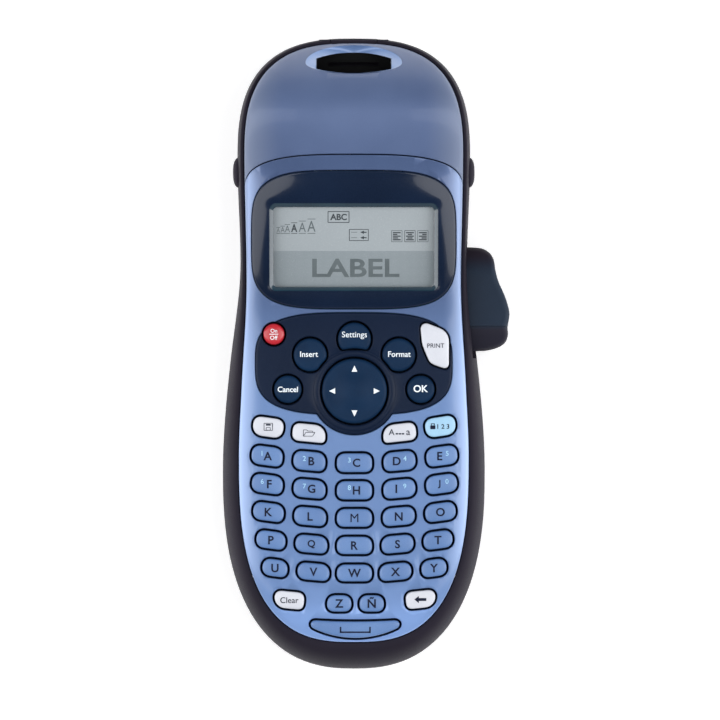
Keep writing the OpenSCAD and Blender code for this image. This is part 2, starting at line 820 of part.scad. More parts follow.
module nav_pivot() {
    color(steel)
        translate([nav_x, nav_y, nav_pivot_z])
            for (turn = [0, 90])
                rotate([0, 90, turn])
                    cylinder(r = 0.8, h = 6, center = true, $fn = FINE);
}

module nav_pad() {
    color(navy)
        translate([nav_x, nav_y, 0]) {
            difference() {
                translate([0, 0, nav_pivot_z + 1.1])
                    cylinder(r = nav_r, h = key_top(0, nav_y) - nav_pivot_z - 1.1, $fn = FINE);
                translate([0, 0, key_top(0, nav_y) + nav_dish_r - nav_dish])
                    sphere(r = nav_dish_r, $fn = 96);
            }
        }
}

module letter_key(i) {
    color(key_blue)
        key(key_top(letter_x(i), letter_y(i)))
            letter_shape(i);
}

module other_key(name) {
    paint = name == "power" ? [0.75, 0.12, 0.2]
        : search([name], ["print", "save", "open", "caps", "clear", "backspace"]) != [[]] ? white
        : search([name], ["settings", "insert", "format", "cancel", "ok"]) != [[]] ? navy
        : name == "num" ? [0.45, 0.72, 0.85]
        : key_blue;
    color(paint)
        key(named_top(name))
            key_shape(name);
}

rear_housing();
front_housing();
cassette_lid();
display_surround();
lcd_module();
keypad_mat();
main_board();
cutter_lever();
cutter_blade();
battery_door();
battery_cells();
label_cassette();
print_head();
drive_motor();
motor_pinion();
idler_gear();
platen_roller();
nav_pivot();
nav_pad();
for (name = OTHER_KEYS)
    other_key(name);
for (i = [0 : len(LETTERS) - 1])
    letter_key(i);
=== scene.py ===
import json
import math

import bmesh
import bpy
import numpy as np
from mathutils import Euler, Matrix, Vector


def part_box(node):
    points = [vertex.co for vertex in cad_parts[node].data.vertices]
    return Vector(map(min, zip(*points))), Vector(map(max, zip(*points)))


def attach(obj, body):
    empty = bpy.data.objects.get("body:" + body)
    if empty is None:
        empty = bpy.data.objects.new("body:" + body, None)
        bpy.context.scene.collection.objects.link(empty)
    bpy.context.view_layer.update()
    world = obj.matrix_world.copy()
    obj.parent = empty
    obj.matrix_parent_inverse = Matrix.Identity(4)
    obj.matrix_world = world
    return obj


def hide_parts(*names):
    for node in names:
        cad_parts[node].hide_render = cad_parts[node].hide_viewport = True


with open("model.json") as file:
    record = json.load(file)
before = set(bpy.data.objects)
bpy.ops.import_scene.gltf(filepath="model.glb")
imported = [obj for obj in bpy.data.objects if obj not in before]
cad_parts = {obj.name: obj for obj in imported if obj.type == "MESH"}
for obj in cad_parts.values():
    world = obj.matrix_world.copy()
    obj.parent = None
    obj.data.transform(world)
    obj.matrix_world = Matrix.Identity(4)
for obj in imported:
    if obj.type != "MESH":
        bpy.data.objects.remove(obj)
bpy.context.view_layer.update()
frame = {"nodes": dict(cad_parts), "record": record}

MM = 0.001

# ---------------------------------------------------------------- sizes, in mm


def box_mm(node):
    """Lowest and highest corner of a CAD node, in millimetres."""
    low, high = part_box(node)
    return np.array(low) / MM, np.array(high) / MM


CASE_LOW, CASE_HIGH = box_mm("rear_housing")
NOSE_Y, TAIL_Y, GRIP_HALF_W = CASE_HIGH[1], CASE_LOW[1], CASE_HIGH[0]
HEAD_HALF_W = 34.6
BELT_Z = 14.0
WALL = 2.2
KEY_FACE_Z = 34.0
CROWN_Z = 47.0
HEAD_Y = 58.0
LID_STEP = 0.35
LIP = 1.0
NEST = 0.15
SKIRT = 2.4

# Outlines: nose, tail, powers of the two round ends, half-width stations [y, half width, slope]
CASE = (NOSE_Y, TAIL_Y, 2.7, 2.45,
        [(HEAD_Y, HEAD_HALF_W, 0), (27.5, HEAD_HALF_W - 0.9, 0),
         (-1, GRIP_HALF_W - 2.4, -0.112), (-35, GRIP_HALF_W, 0)])
FACE = (NOSE_Y - 1.6, TAIL_Y + 8.4, 2.7, 2.75,
        [(HEAD_Y, HEAD_HALF_W - 2.3, 0), (22, HEAD_HALF_W - 2.9, 0),
         (-10, GRIP_HALF_W - 5.8, -0.045), (-30, GRIP_HALF_W - 5, 0)])

# Centre-line height, rim drop and edge exponent: [y, value, slope]
DISPLAY_SLOPE = 0.16
DISPLAY_LOW_Y = 14.0
DISPLAY_LOW_Z = KEY_FACE_Z + 1.6
DISPLAY_HIGH_Z = DISPLAY_LOW_Z + DISPLAY_SLOPE * (52 - DISPLAY_LOW_Y)
TOP_LINE = [(NOSE_Y - 1, 24, -2.4), (86, CROWN_Z - 9.5, -1.6), (72, CROWN_Z, 0),
            (52, DISPLAY_HIGH_Z, DISPLAY_SLOPE), (DISPLAY_LOW_Y, DISPLAY_LOW_Z, DISPLAY_SLOPE),
            (-10, KEY_FACE_Z, 0.02), (-70, KEY_FACE_Z - 0.8, 0.03), (-86, KEY_FACE_Z - 1.8, 0.12)]
EDGE_DROP = [(HEAD_Y, 7, 0), (0, 2.6, 0)]
EDGE_POWER = [(HEAD_Y, 3.4, 0), (0, 8, 0)]

SEAM_Y, SEAM_END_Y, SEAM_HALF_W, SEAM_POWER, SEAM_GAP = 59.0, 47.6, 32.3, 0.65, 0.15
WINDOW_Y, WINDOW_W, WINDOW_H = 31.7, 47.4, 23.5
NAV_X, NAV_Y = (sum(p) / 2 for p in zip(*[q[:2] for q in box_mm("nav_pad")]))
NAV_R = 9.6
KEY_GAP = 0.55
SURROUND_RISE = 0.5

# ------------------------------------------------------------- curves and rings


def along(y, stations):
    """Value of a station list at y, by cubic steps."""
    y = np.asarray(y, float)
    first, last = stations[0], stations[-1]
    out = np.where(y >= first[0], first[1] + (y - first[0]) * first[2],
                   last[1] + (y - last[0]) * last[2])
    for (ya, va, sa), (yb, vb, sb) in zip(stations, stations[1:]):
        h = yb - ya
        t = (y - ya) / h
        value = (va * (1 + t * t * (2 * t - 3)) + sa * h * t * (1 - t) ** 2
                 + vb * t * t * (3 - 2 * t) + sb * h * t * t * (t - 1))
        out = np.where((y < ya) & (y >= yb), value, out)
    return out


def outline(o, cap_steps=30, side_steps=34):
    """Closed ring of [x, y, spine y] points, from the nose round +X to the tail and back."""
    nose, tail, top_power, low_power, sides = o
    top, low = sides[0], sides[-1]
    a = np.radians(90 - 90 * np.arange(cap_steps) / cap_steps)
    upper = np.stack([top[1] * np.cos(a) ** (2 / top_power),
                      top[0] + (nose - top[0]) * np.sin(a) ** (2 / top_power),
                      np.full(cap_steps, top[0])], 1)
    y = top[0] + (low[0] - top[0]) * np.arange(side_steps) / side_steps
    side = np.stack([along(y, sides), y, y], 1)
    a = np.radians(90 * np.arange(cap_steps + 1) / cap_steps)
    lower = np.stack([low[1] * np.abs(np.cos(a)) ** (2 / low_power),
                      low[0] + (tail - low[0]) * np.sin(a) ** (2 / low_power),
                      np.full(cap_steps + 1, low[0])], 1)
    half = np.concatenate([upper, side, lower])
    half[0, 0] = half[-1, 0] = 0
    return np.concatenate([half, half[-2:0:-1] * [-1, 1, 1]])


def inset(ring, d):
    """The ring drawn in towards its spine by d."""
    n = np.hypot(ring[:, 0], ring[:, 1] - ring[:, 2])
    f = np.maximum(0.02, 1 - d / n)
    return np.stack([ring[:, 0] * f, ring[:, 2] + (ring[:, 1] - ring[:, 2]) * f, ring[:, 2]], 1)


def rim_drop(y):
    return along(np.clip(y, 0, HEAD_Y), EDGE_DROP)


def rim_z(y):
    return along(y, TOP_LINE) - rim_drop(y)


def face_at_share(y, s):
    """Height of the upper surface where the share from spine to rim is s."""
    power = along(np.clip(y, 0, HEAD_Y), EDGE_POWER)
    return along(y, TOP_LINE) - rim_drop(y) * (1 - (1 - s ** power) ** (1 / power))


def face_z(x, y):
    """Height of the upper surface over any point of the key face or lid."""
    nose, tail, top_power, low_power, sides = FACE
    x, y = np.abs(np.asarray(x, float)), np.asarray(y, float)
    top, low = sides[0], sides[-1]
    up = ((x / top[1]) ** top_power
          + (np.maximum(y - top[0], 0) / (nose - top[0])) ** top_power) ** (1 / top_power)
    down = ((x / low[1]) ** low_power
            + (np.maximum(low[0] - y, 0) / (low[0] - tail)) ** low_power) ** (1 / low_power)
    s = np.where(y > top[0], up, np.where(y < low[0], down, x / along(y, sides)))
    return face_at_share(y, np.clip(s, 0, 0.9999))


def resample(loop, step):
    """The closed loop with points an even distance apart."""
    closed = np.vstack([loop, loop[:1]])
    run = np.concatenate([[0], np.cumsum(np.hypot(*np.diff(closed, axis=0).T))])
    n = max(24, int(round(run[-1] / step)))
    at = np.linspace(0, run[-1], n, endpoint=False)
    return np.stack([np.interp(at, run, closed[:, k]) for k in (0, 1)], 1)


def grow(loop, d):
    """The counter-clockwise loop moved out by d along its normals."""
    ahead = np.roll(loop, -1, 0) - loop
    ahead /= np.maximum(np.hypot(*ahead.T), 1e-9)[:, None]
    out = np.stack([ahead[:, 1], -ahead[:, 0]], 1)
    mean = out + np.roll(out, 1, 0)
    scale = 2 / np.maximum((mean ** 2).sum(1), 0.8)
    return loop + mean * scale[:, None] * d


def superellipse(a, b, power, middle, n=160):
    t = 2 * np.pi * np.arange(n) / n
    c, s = np.cos(t), np.sin(t)
    return np.stack([middle[0] + a * np.sign(c) * np.abs(c) ** power,
                     middle[1] + b * np.sign(s) * np.abs(s) ** power], 1)


def round_rect(w, h, r, middle=(0, 0), steps=8):
    """Rounded rectangle, counter-clockwise."""
    points = []
    for q, (sx, sy) in enumerate([(1, 1), (-1, 1), (-1, -1), (1, -1)]):
        for k in range(steps + 1):
            a = math.radians(90 * (q + k / steps))
            points.append((middle[0] + sx * (w / 2 - r) + r * math.cos(a),
                           middle[1] + sy * (h / 2 - r) + r * math.sin(a)))
    return np.array(points)


def circle(r, middle=(0, 0), n=48):
    return superellipse(r, r, 1, middle, n)


def at(loop, z):
    """The flat loop lifted to a height or a height function."""
    high = z(loop[:, 0], loop[:, 1]) if callable(z) else np.full(len(loop), float(z))
    return np.column_stack([loop[:, :2], high])


# ---------------------------------------------------------------- mesh building


def strip(rings, around=False):
    """Points and quads through a stack of closed rings; `around` joins the last to the first."""
    n, count = len(rings[0]), len(rings)
    faces = []
    for k in range(count if around else count - 1):
        a, b = k * n, (k + 1) % count * n
        faces += [(a + i, a + (i + 1) % n, b + (i + 1) % n, b + i) for i in range(n)]
    return np.concatenate(rings), faces


def solid(rings):
    """Closed body through a stack of rings, each end closed by a fan to its middle."""
    points, faces = strip(rings)
    n = len(rings[0])
    ends = np.array([rings[0].mean(0), rings[-1].mean(0)])
    low, high, last = len(points), len(points) + 1, len(points) - n
    faces += [(low, (i + 1) % n, i) for i in range(n)]
    faces += [(high, last + i, last + (i + 1) % n) for i in range(n)]
    return np.concatenate([points, ends]), faces


def joined(parts):
    points, faces, start = [], [], 0
    for p, f in parts:
        points.append(p)
        faces += [tuple(i + start for i in face) for face in f]
        start += len(p)
    return np.concatenate(points), faces


def moved(part, matrix):
    """The points of a part in mm through a 4x4 matrix."""
    m = np.array(matrix)
    return part[0] @ m[:3, :3].T + m[:3, 3], part[1]


def mesh_of(name, part, merge=2e-6):
    points, faces = part
    mesh = bpy.data.meshes.new(name)
    bm = bmesh.new()
    verts = [bm.verts.new(p) for p in np.asarray(points) * MM]
    for face in faces:
        corners = list(dict.fromkeys(face))
        if len(corners) > 2:
            bm.faces.new([verts[i] for i in corners])
    bmesh.ops.remove_doubles(bm, verts=bm.verts, dist=merge)
    bmesh.ops.dissolve_degenerate(bm, edges=bm.edges, dist=merge / 10)
    bmesh.ops.recalc_face_normals(bm, faces=bm.faces)
    bm.to_mesh(mesh)
    bm.free()
    return mesh


def put(name, mesh):
    obj = bpy.data.objects.new(name, mesh)
    bpy.context.scene.collection.objects.link(obj)
    return obj


def carve(obj, part, operation="DIFFERENCE"):
    """Cuts the part out of the object, or adds it, as an exact solid."""
    tool = put("tool", mesh_of("tool", part))
    modifier = obj.modifiers.new("carve", "BOOLEAN")
    modifier.operation = operation
    modifier.solver = "EXACT"
    modifier.object = tool
    done = bpy.data.meshes.new_from_object(
        obj.evaluated_get(bpy.context.evaluated_depsgraph_get()))
    obj.modifiers.clear()
    obj.data = done
    bpy.data.objects.remove(tool)


def finish_piece(obj, body, material, replaces=(), smooth=38):
    """Smooth shading up to an angle, material, body and the nodes it stands for."""
    mesh = obj.data
    mesh.materials.clear()
    mesh.materials.append(material)
    mesh.shade_smooth()
    mesh.set_sharp_from_angle(angle=math.radians(smooth))
    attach(obj, body)
    if replaces:
        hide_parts(*replaces)
    return obj


def piece(name, part, body, material, replaces=(), smooth=38):
    return finish_piece(put(name, mesh_of(name, part)), body, material, replaces, smooth)


def pillow(loop, low, top, edge, low_edge=0.0, dome=0.0, rings=7, middle=None):
    """Closed body on a loop: straight sides, rounded edges, and a top that may be domed.
    low and top are heights or height functions; dome is the fall from the middle to the edge."""
    middle = loop.mean(0) if middle is None else np.array(middle)

    def height(points, share, down=0.0):
        high = at(points, top)
        high[:, 2] -= dome * share ** 2 + down
        return high

    def foot(points, up):
        high = at(points, low)
        high[:, 2] += up
        return high

    stack = []
    for k in range(5 if low_edge else 1):
        a = math.radians(90 * (1 - k / 4) if low_edge else 0)
        stack.append(foot(grow(loop, -low_edge * (1 - math.cos(a))), low_edge * (1 - math.sin(a))))
    for k in range(6):
        a = math.radians(90 * k / 5)
        stack.append(height(grow(loop, -edge * (1 - math.cos(a))), 1.0, edge * (1 - math.sin(a))))
    inner = grow(loop, -edge)
    for k in range(1, rings):
        share = 1 - k / rings
        stack.append(height(middle + (inner - middle) * share, share))
    points, faces = solid(stack)
    points[-1, 2] = at(middle[None], top)[0, 2]
    return points, faces


def lathe(profile, n=48):
    """Closed body turned round Z from [radius, z] points."""
    return solid([np.column_stack([circle(max(r, 1e-3), n=n), np.full(n, float(z))])
                  for r, z in profile])


def tube(profile, n=48):
    """Ring turned round Z from a closed [radius, z] profile."""
    return strip([np.column_stack([circle(r, n=n), np.full(n, float(z))]) for r, z in profile], True)


def block(low, high, edge=0.3):
    """Box between two corners with rounded upright edges and chamfered ends."""
    low, high = np.array(low, float), np.array(high, float)
    middle = (low + high) / 2
    size = high - low
    edge = min(edge, size.min() * 0.45)
    loop = round_rect(size[0], size[1], edge, middle[:2], 3)
    small = grow(loop, -edge * 0.9)
    return solid([at(small, low[2]), at(loop, low[2] + edge), at(loop, high[2] - edge),
                  at(small, high[2])])


def placed(x, y, z, turn=(0, 0, 0)):
    return Matrix.Translation((x, y, z)) @ Euler([math.radians(t) for t in turn]).to_matrix().to_4x4()


def prism(rings):
    """Closed body through a stack of rings whose two ends are flat."""
    points, faces = strip(rings)
    n = len(rings[0])
    last = len(points) - n
    return points, faces + [tuple(range(n))[::-1], tuple(range(last, last + n))]


def cutter(loop, surface, flare, low=6.0, high=66.0):
    """Solid that cuts a hole through a surface and rounds the hole's upper edge."""
    def ring(d, down):
        lifted = at(grow(loop, d), surface)
        lifted[:, 2] -= down
        return lifted

    stack = [at(loop, low), ring(0, flare)]
    for k in range(1, 5):
        a = math.radians(78 * k / 4)
        stack.append(ring(flare * (1 - math.cos(a)), flare * (1 - math.sin(a))))
    return prism(stack + [at(grow(loop, flare * 1.4), high)])


def drawn_in(loop, d):
    """The loop moved in by d (out if negative) towards its middle, which never folds."""
    middle = loop.mean(0)
    arm = loop - middle
    reach = np.hypot(*arm.T)[:, None]
    return middle + arm * np.maximum(0.05, 1 - d / reach)


# -------------------------------------------------------------------- materials


def rgb(r, g, b):
    """Linear colour from screen values of 0 to 255."""
    return tuple(((c / 255 + 0.055) / 1.055) ** 2.4 if c > 10 else c / 3295 for c in (r, g, b)) + (1,)


def surface(name, low, high, rough=(0.4, 0.5), patch=60, grain=2500, bump=0.05, depth=0.1,
            metallic=0.0, coat=0.0, coat_rough=0.08, specular=0.5, tints=(), flecks=0.35):
    """Material whose colour drifts between two shades, with grain in its bump and roughness.
    Each tints entry (axis, colour, start, end) paints light or shade: it turns the colour
    to another between two places in mm; along X the places are distances from the centre line."""
    material = bpy.data.materials.new(name)
    material.use_nodes = True
    nodes, links = material.node_tree.nodes, material.node_tree.links
    shader = nodes["Principled BSDF"]
    for socket, value in (("Metallic", metallic), ("Coat Weight", coat),
                          ("Coat Roughness", coat_rough), ("Specular IOR Level", specular)):
        shader.inputs[socket].default_value = value
    where = nodes.new("ShaderNodeTexCoord")

    def noise(scale, detail):
        node = nodes.new("ShaderNodeTexNoise")
        node.inputs["Scale"].default_value = scale
        node.inputs["Detail"].default_value = detail
        links.new(where.outputs["Object"], node.inputs["Vector"])
        return node.outputs["Fac"]

    patches, grains = noise(patch, 3), noise(grain, 2)
    shade = nodes.new("ShaderNodeMix")
    shade.inputs["Factor"].default_value = flecks
    links.new(patches, shade.inputs["A"])
    links.new(grains, shade.inputs["B"])
    ramp = nodes.new("ShaderNodeValToRGB")
    ramp.color_ramp.elements[0].position = 0.36
    ramp.color_ramp.elements[1].position = 0.64
    ramp.color_ramp.elements[0].color = rgb(*low)
    ramp.color_ramp.elements[1].color = rgb(*high)
    links.new(shade.outputs["Result"], ramp.inputs["Fac"])
    colour = ramp.outputs["Color"]
    if tints:
        split = nodes.new("ShaderNodeSeparateXYZ")
        links.new(where.outputs["Object"], split.inputs["Vector"])
    # Painted light and shade: each band blends the colour to a lighter or darker one between two places
    for axis, shade_to, start, end in tints:
        place = split.outputs[axis]
        if axis == "X":
            away = nodes.new("ShaderNodeMath")
            away.operation = "ABSOLUTE"
            links.new(place, away.inputs[0])
            place = away.outputs[0]
        share = nodes.new("ShaderNodeMapRange")
        share.interpolation_type = "SMOOTHSTEP"
        low_end, high_end, first, last = (start, end, 0, 1) if end > start else (end, start, 1, 0)
        for socket, value in (("From Min", low_end * MM), ("From Max", high_end * MM),
                              ("To Min", first), ("To Max", last)):
            share.inputs[socket].default_value = value
        links.new(place, share.inputs["Value"])
        tint = nodes.new("ShaderNodeMix")
        tint.data_type = "RGBA"
        links.new(share.outputs["Result"], tint.inputs["Factor"])
        links.new(colour, tint.inputs[6])
        tint.inputs[7].default_value = rgb(*shade_to)
        colour = tint.outputs[2]
    links.new(colour, shader.inputs["Base Color"])
    spread = nodes.new("ShaderNodeMapRange")
    spread.inputs["From Min"].default_value = 0.3
    spread.inputs["From Max"].default_value = 0.7
    spread.inputs["To Min"].default_value = rough[0]
    spread.inputs["To Max"].default_value = rough[1]
    links.new(grains, spread.inputs["Value"])
    links.new(spread.outputs["Result"], shader.inputs["Roughness"])
    relief = nodes.new("ShaderNodeBump")
    relief.inputs["Strength"].default_value = bump
    relief.inputs["Distance"].default_value = depth * MM
    links.new(grains, relief.inputs["Height"])
    links.new(relief.outputs["Normal"], shader.inputs["Normal"])
    return material


# Per surface: two colours, roughness, sizes of the patches and grains, bump, and options
FINISHES = {
    "case_dark": ((31, 28, 38), (37, 33, 45), (0.55, 0.7), 25, 3500, 0.25, dict(specular=0.12)),
    # case_blue painted light: lighter towards the keypad and the tail (Y bands), painted highlight along
    # both side edges (X band)
    "case_blue": ((68, 86, 124), (78, 98, 138), (0.32, 0.44), 40, 6000, 0.06,
        dict(metallic=0.3, coat=0.4, specular=0.4, tints=[("Y", (102, 131, 179), 30, -16),
            ("Y", (134, 168, 226), -66, -84), ("X", (150, 172, 212), 26, 36)])),
    # lid_blue painted highlight: lighter grey towards both side edges (X band)
    "lid_blue": ((76, 93, 130), (86, 104, 142), (0.45, 0.56), 35, 6000, 0.06,
        dict(metallic=0.15, coat=0.12, specular=0.35, tints=[("X", (106, 118, 144), 20, 33)])),
    "exit_blue": ((104, 134, 184), (128, 156, 204), (0.3, 0.4), 60, 5000, 0.05,
        dict(metallic=0.1, coat=0.3)),
    "navy_gloss": ((14, 26, 46), (20, 34, 57), (0.14, 0.2), 30, 3000, 0.01,
        dict(coat=0.3, coat_rough=0.06, specular=0.2)),
    "control": ((12, 25, 46), (18, 32, 56), (0.28, 0.36), 30, 4000, 0.04, dict(specular=0.12)),
    "bevel": ((14, 42, 58), (22, 54, 70), (0.18, 0.25), 80, 3000, 0.02, dict(coat=0.6)),
    "key_navy": ((10, 35, 62), (16, 44, 74), (0.36, 0.46), 90, 4500, 0.06, dict(specular=0.1)),
    "key_white": ((199, 202, 212), (210, 213, 222), (0.3, 0.4), 70, 4000, 0.05,
        dict(coat=0.25, coat_rough=0.2)),
    "key_red": ((178, 16, 34), (200, 32, 50), (0.28, 0.38), 90, 4000, 0.06,
        dict(coat=0.4, coat_rough=0.15)),
    "key_light": ((146, 190, 220), (162, 204, 232), (0.3, 0.4), 90, 4000, 0.05,
        dict(coat=0.3, coat_rough=0.2)),
    "key_blue": ((84, 118, 170), (97, 132, 185), (0.32, 0.42), 60, 4500, 0.06,
        dict(coat=0.3, coat_rough=0.2)),
    "mat": ((14, 27, 48), (22, 38, 62), (0.55, 0.7), 60, 3000, 0.1, dict(specular=0.2)),
    "ink_navy": ((8, 16, 40), (14, 24, 50), (0.5, 0.6), 300, 6000, 0.02, dict(specular=0.2)),
    "ink_pale": ((150, 196, 226), (168, 210, 236), (0.5, 0.6), 300, 6000, 0.02, {}),
    "ink_white": ((226, 236, 244), (240, 246, 250), (0.5, 0.6), 300, 6000, 0.02, {}),
    # lever painted shade: darker purple at both ends of the paddle, where its top falls away
    "lever": ((17, 32, 50), (25, 41, 60), (0.45, 0.58), 40, 3500, 0.2,
        dict(specular=0.2, tints=[("Y", (28, 22, 34), 24, 30), ("Y", (34, 33, 46), 9, 7)])),
    "board": ((18, 92, 48), (30, 116, 62), (0.3, 0.4), 200, 2500, 0.1, {}),
    "steel": ((150, 152, 156), (190, 192, 196), (0.25, 0.42), 120, 4000, 0.1, dict(metallic=1.0)),
    "brass": ((178, 142, 70), (206, 170, 92), (0.25, 0.4), 150, 4000, 0.1, dict(metallic=1.0)),
    "gear": ((214, 212, 200), (230, 228, 218), (0.4, 0.5), 120, 3500, 0.08, {}),
    "platen": ((34, 34, 36), (46, 46, 48), (0.6, 0.75), 200, 3000, 0.15, {}),
    "cells": ((44, 62, 84), (58, 80, 104), (0.25, 0.35), 80, 3000, 0.03, dict(metallic=0.6, coat=0.5)),
    "cassette": ((58, 62, 70), (70, 74, 84), (0.4, 0.5), 60, 3000, 0.12, {}),
    # throat: near-black, far darker than the case plastic: painted shade for the deep label exit
    "throat": ((3, 4, 6), (6, 8, 11), (0.5, 0.6), 60, 3000, 0.1, dict(specular=0.1)),
    "floor": ((251, 251, 252), (254, 254, 254), (0.6, 0.75), 4, 900, 0.02, dict(specular=0.2)),
}
MAT = {name: surface(name, *numbers, **options)
       for name, (*numbers, options) in FINISHES.items()}

# --------------------------------------------------------------------- lettering


def lettering(name, text, size, middle, z, body, slot, material, thick=0.12, bold=0.0,
              by_width=False, wide=1.0):
    """Raised characters of a given height or width, centred on a point, as a thin closed solid."""
    curve = bpy.data.curves.new(name, "FONT")
    curve.body = text
    curve.extrude = 0.5
    curve.offset = bold
    curve.resolution_u = 4
    holder = put("holder", curve)
    mesh = bpy.data.meshes.new_from_object(
        holder.evaluated_get(bpy.context.evaluated_depsgraph_get()))
    bpy.data.objects.remove(holder)
    bm = bmesh.new()
    bm.from_mesh(mesh)
    bmesh.ops.remove_doubles(bm, verts=bm.verts, dist=1e-5)
    points = np.array([v.co for v in bm.verts])
    low, top = points[:, :2].min(0), points[:, :2].max(0)
    span = (top - low)[0 if by_width else 1]
    upper = points[:, 2] > 0
    flat = (points[:, :2] - (low + top) / 2) * size / span * [wide, 1]
    flat = flat + np.array(middle, float)
    height = at(flat, z)[:, 2] + np.where(upper, 0.02, 0.02 - thick)
    for vert, (x, y), h in zip(bm.verts, flat, height):
        vert.co = (x * MM, y * MM, h * MM)
    bmesh.ops.recalc_face_normals(bm, faces=bm.faces)
    bm.to_mesh(mesh)
    bm.free()
    return finish_piece(put(name, mesh), body, material)


def mark(name, loops, z, body, material, thick=0.12):
    """Flat closed marks from outlines, each a thin solid."""
    parts = [solid([at(loop, lambda x, y: z(x, y) + 0.02 - thick),
                    at(loop, lambda x, y: z(x, y) + 0.02)]) for loop in loops]
    return piece(name, joined(parts), body, material)


def bar(a, b, width):
    """Outline of a straight stroke between two points."""
    a, b = np.array(a, float), np.array(b, float)
    n = b - a
    n = np.array([-n[1], n[0]]) / np.hypot(*n) * width / 2
    return np.array([a - n, b - n, b + n, a + n])


def frame_bars(w, h, width, middle):
    """Strokes round a rectangle."""
    x, y = middle
    return [bar((x - w / 2, y + s * h / 2), (x + w / 2, y + s * h / 2), width) for s in (-1, 1)] + [
        bar((x + s * w / 2, y - h / 2), (x + s * w / 2, y + h / 2), width) for s in (-1, 1)]


# -------------------------------------------------------------------------- keys

SLOT_OF = {p["node"]: p["material_slot"] for p in frame["record"]["subparts"]}
KEYS = [n for n in frame["nodes"] if n.startswith("key_")]
FLANGE, FLANGE_T = 0.4, 0.8
CAP_EDGE, CAP_DOME, ROUND_EDGE = 0.5, 0.12, 0.9


def cap_loop(node):
    """Outline of a key's cap: the upper corners of its CAD node, counter-clockwise."""
    points = np.array([v.co for v in frame["nodes"][node].data.vertices]) / MM
    upper = np.unique(np.round(points[points[:, 2] > points[:, 2].max() - 0.05][:, :2], 3), axis=0)
    middle = (upper.min(0) + upper.max(0)) / 2
    order = np.argsort(np.arctan2(*(upper - middle).T[::-1]))
    loop = resample(upper[order], 0.3)
    for _ in range(5):
        loop = loop / 2 + (np.roll(loop, 1, 0) + np.roll(loop, -1, 0)) / 4
    return loop


LOOPS = {node: cap_loop(node) for node in KEYS}


def key_middle(node):
    low, high = box_mm(node)
    loop = LOOPS[node]
    return (loop.min(0) + loop.max(0)) / 2, low[2], high[2]


for node in KEYS:
    loop = LOOPS[node]
    middle, low_z, high_z = key_middle(node)
    round_key = SLOT_OF[node] in ("key_navy", "key_red")
    if not round_key:
        cap = pillow(loop, low_z, high_z, CAP_EDGE, dome=CAP_DOME, middle=middle)
    else:
        stack = [at(loop, low_z)]
        for k in range(7):
            a = math.radians(90 * k / 6)
            stack.append(at(drawn_in(loop, ROUND_EDGE * (1 - math.cos(a))),
                            high_z - CAP_DOME - ROUND_EDGE * (1 - math.sin(a))))
        inner = drawn_in(loop, ROUND_EDGE)
        for k in range(1, 6):
            share = 1 - k / 6
            stack.append(at(inner.mean(0) + (inner - inner.mean(0)) * share,
                            high_z - CAP_DOME * share ** 2))
        cap = solid(stack)
    foot = grow(loop, KEY_GAP + FLANGE) if not round_key else drawn_in(loop, -KEY_GAP - FLANGE)
    plate = solid([at(foot, low_z), at(foot, low_z + FLANGE_T)])
    obj = piece("keycap_" + node[4:], joined([cap, plate]), node,
                MAT[SLOT_OF[node]], (node,), 50)
    obj.data.materials.append(MAT["mat"])
    for face in obj.data.polygons:
        if max(obj.data.vertices[i].co.z for i in face.vertices) < (low_z + FLANGE_T + 0.01) * MM:
            face.material_index = 1

# ------------------------------------------------------------------- key legends

LETTERS = "abcdefghijklmnopqrstuvwxy"
DIGITS = "1234567890"
LETTER_H, DIGIT_H = 2.5, 1.45
LETTER_SHIFT = {"a": 0.2, "b": 0.6, "c": 0.6, "d": -0.8, "e": -0.6,
                "f": 0.6, "g": 0.6, "h": 0.6, "i": -0.9, "j": -0.7}


def cap_height(node):
    """Height just above a cap's domed top."""
    high_z = key_middle(node)[2]
    return lambda x, y: np.full(len(x), high_z + 0.02)


def legend(node, text, size, shift=(0, 0), ink="ink_navy", tag="", **options):
    return lettering("legend_" + node[4:] + tag, text, size, key_middle(node)[0] + shift,
                     cap_height(node), node, SLOT_OF[node], MAT[ink], 0.25, **options)


for i, letter in enumerate(LETTERS):
    node = "key_" + letter
    legend(node, letter.upper(), LETTER_H, (LETTER_SHIFT.get(letter, 0), 0),
           bold=0 if letter == "m" else 0.022)
    if i < len(DIGITS):
        legend(node, DIGITS[i], DIGIT_H, (1.6 if letter in "deij" else -1.5, 0.8), "ink_pale",
               "_digit", bold=0.01)
legend("key_z", "Z", LETTER_H, bold=0.022)
legend("key_enye", "Ñ", LETTER_H * 1.3, (0, 0.3), bold=0.022)
for node, text, width, shift, ink, bold in [
        ("key_settings", "Settings", 7.4, (0, 0.2), "ink_white", 0.006),
        ("key_insert", "Insert", 5.3, (-0.3, 0.2), "ink_white", 0.014),
        ("key_format", "Format", 6.7, (0.2, 0.2), "ink_white", 0.014),
        ("key_cancel", "Cancel", 6.0, (0, 0), "ink_white", 0.02),
        ("key_ok", "OK", 4.3, (0, 0.2), "ink_white", 0.02),
        ("key_print", "PRINT", 5.0, (0.3, 0), "ink_navy", 0.0),
        ("key_clear", "Clear", 5.4, (0, 0), "ink_navy", 0.004)]:
    legend(node, text, width, shift, ink, bold=bold, by_width=True)
legend("key_power", "On", 1.15, (0, 1.0), "ink_white", "_on", bold=0.01)
legend("key_power", "Off", 1.2, (0, -1.05), "ink_white", "_off", bold=0.01)
legend("key_caps", "A", 1.75, (-2.4, 0.2), "ink_navy", "_upper")
legend("key_caps", "a", 1.35, (2.5, 0.0), "ink_navy", "_lower")
legend("key_num", "1 2 3", 3.5, (0.9, 0), "ink_navy", by_width=True, bold=0.012)


def key_mark(node, loops, tag, ink="ink_navy"):
    """Marks in mm from a key's middle."""
    mark("mark_" + tag, [np.array(loop) + key_middle(node)[0] for loop in loops],
         cap_height(node), node, MAT[ink], 0.2)


def bars(width, *ends):
    """Bars of one width, each from its first two numbers to its last two."""
    return [bar(end[:2], end[2:], width) for end in ends]


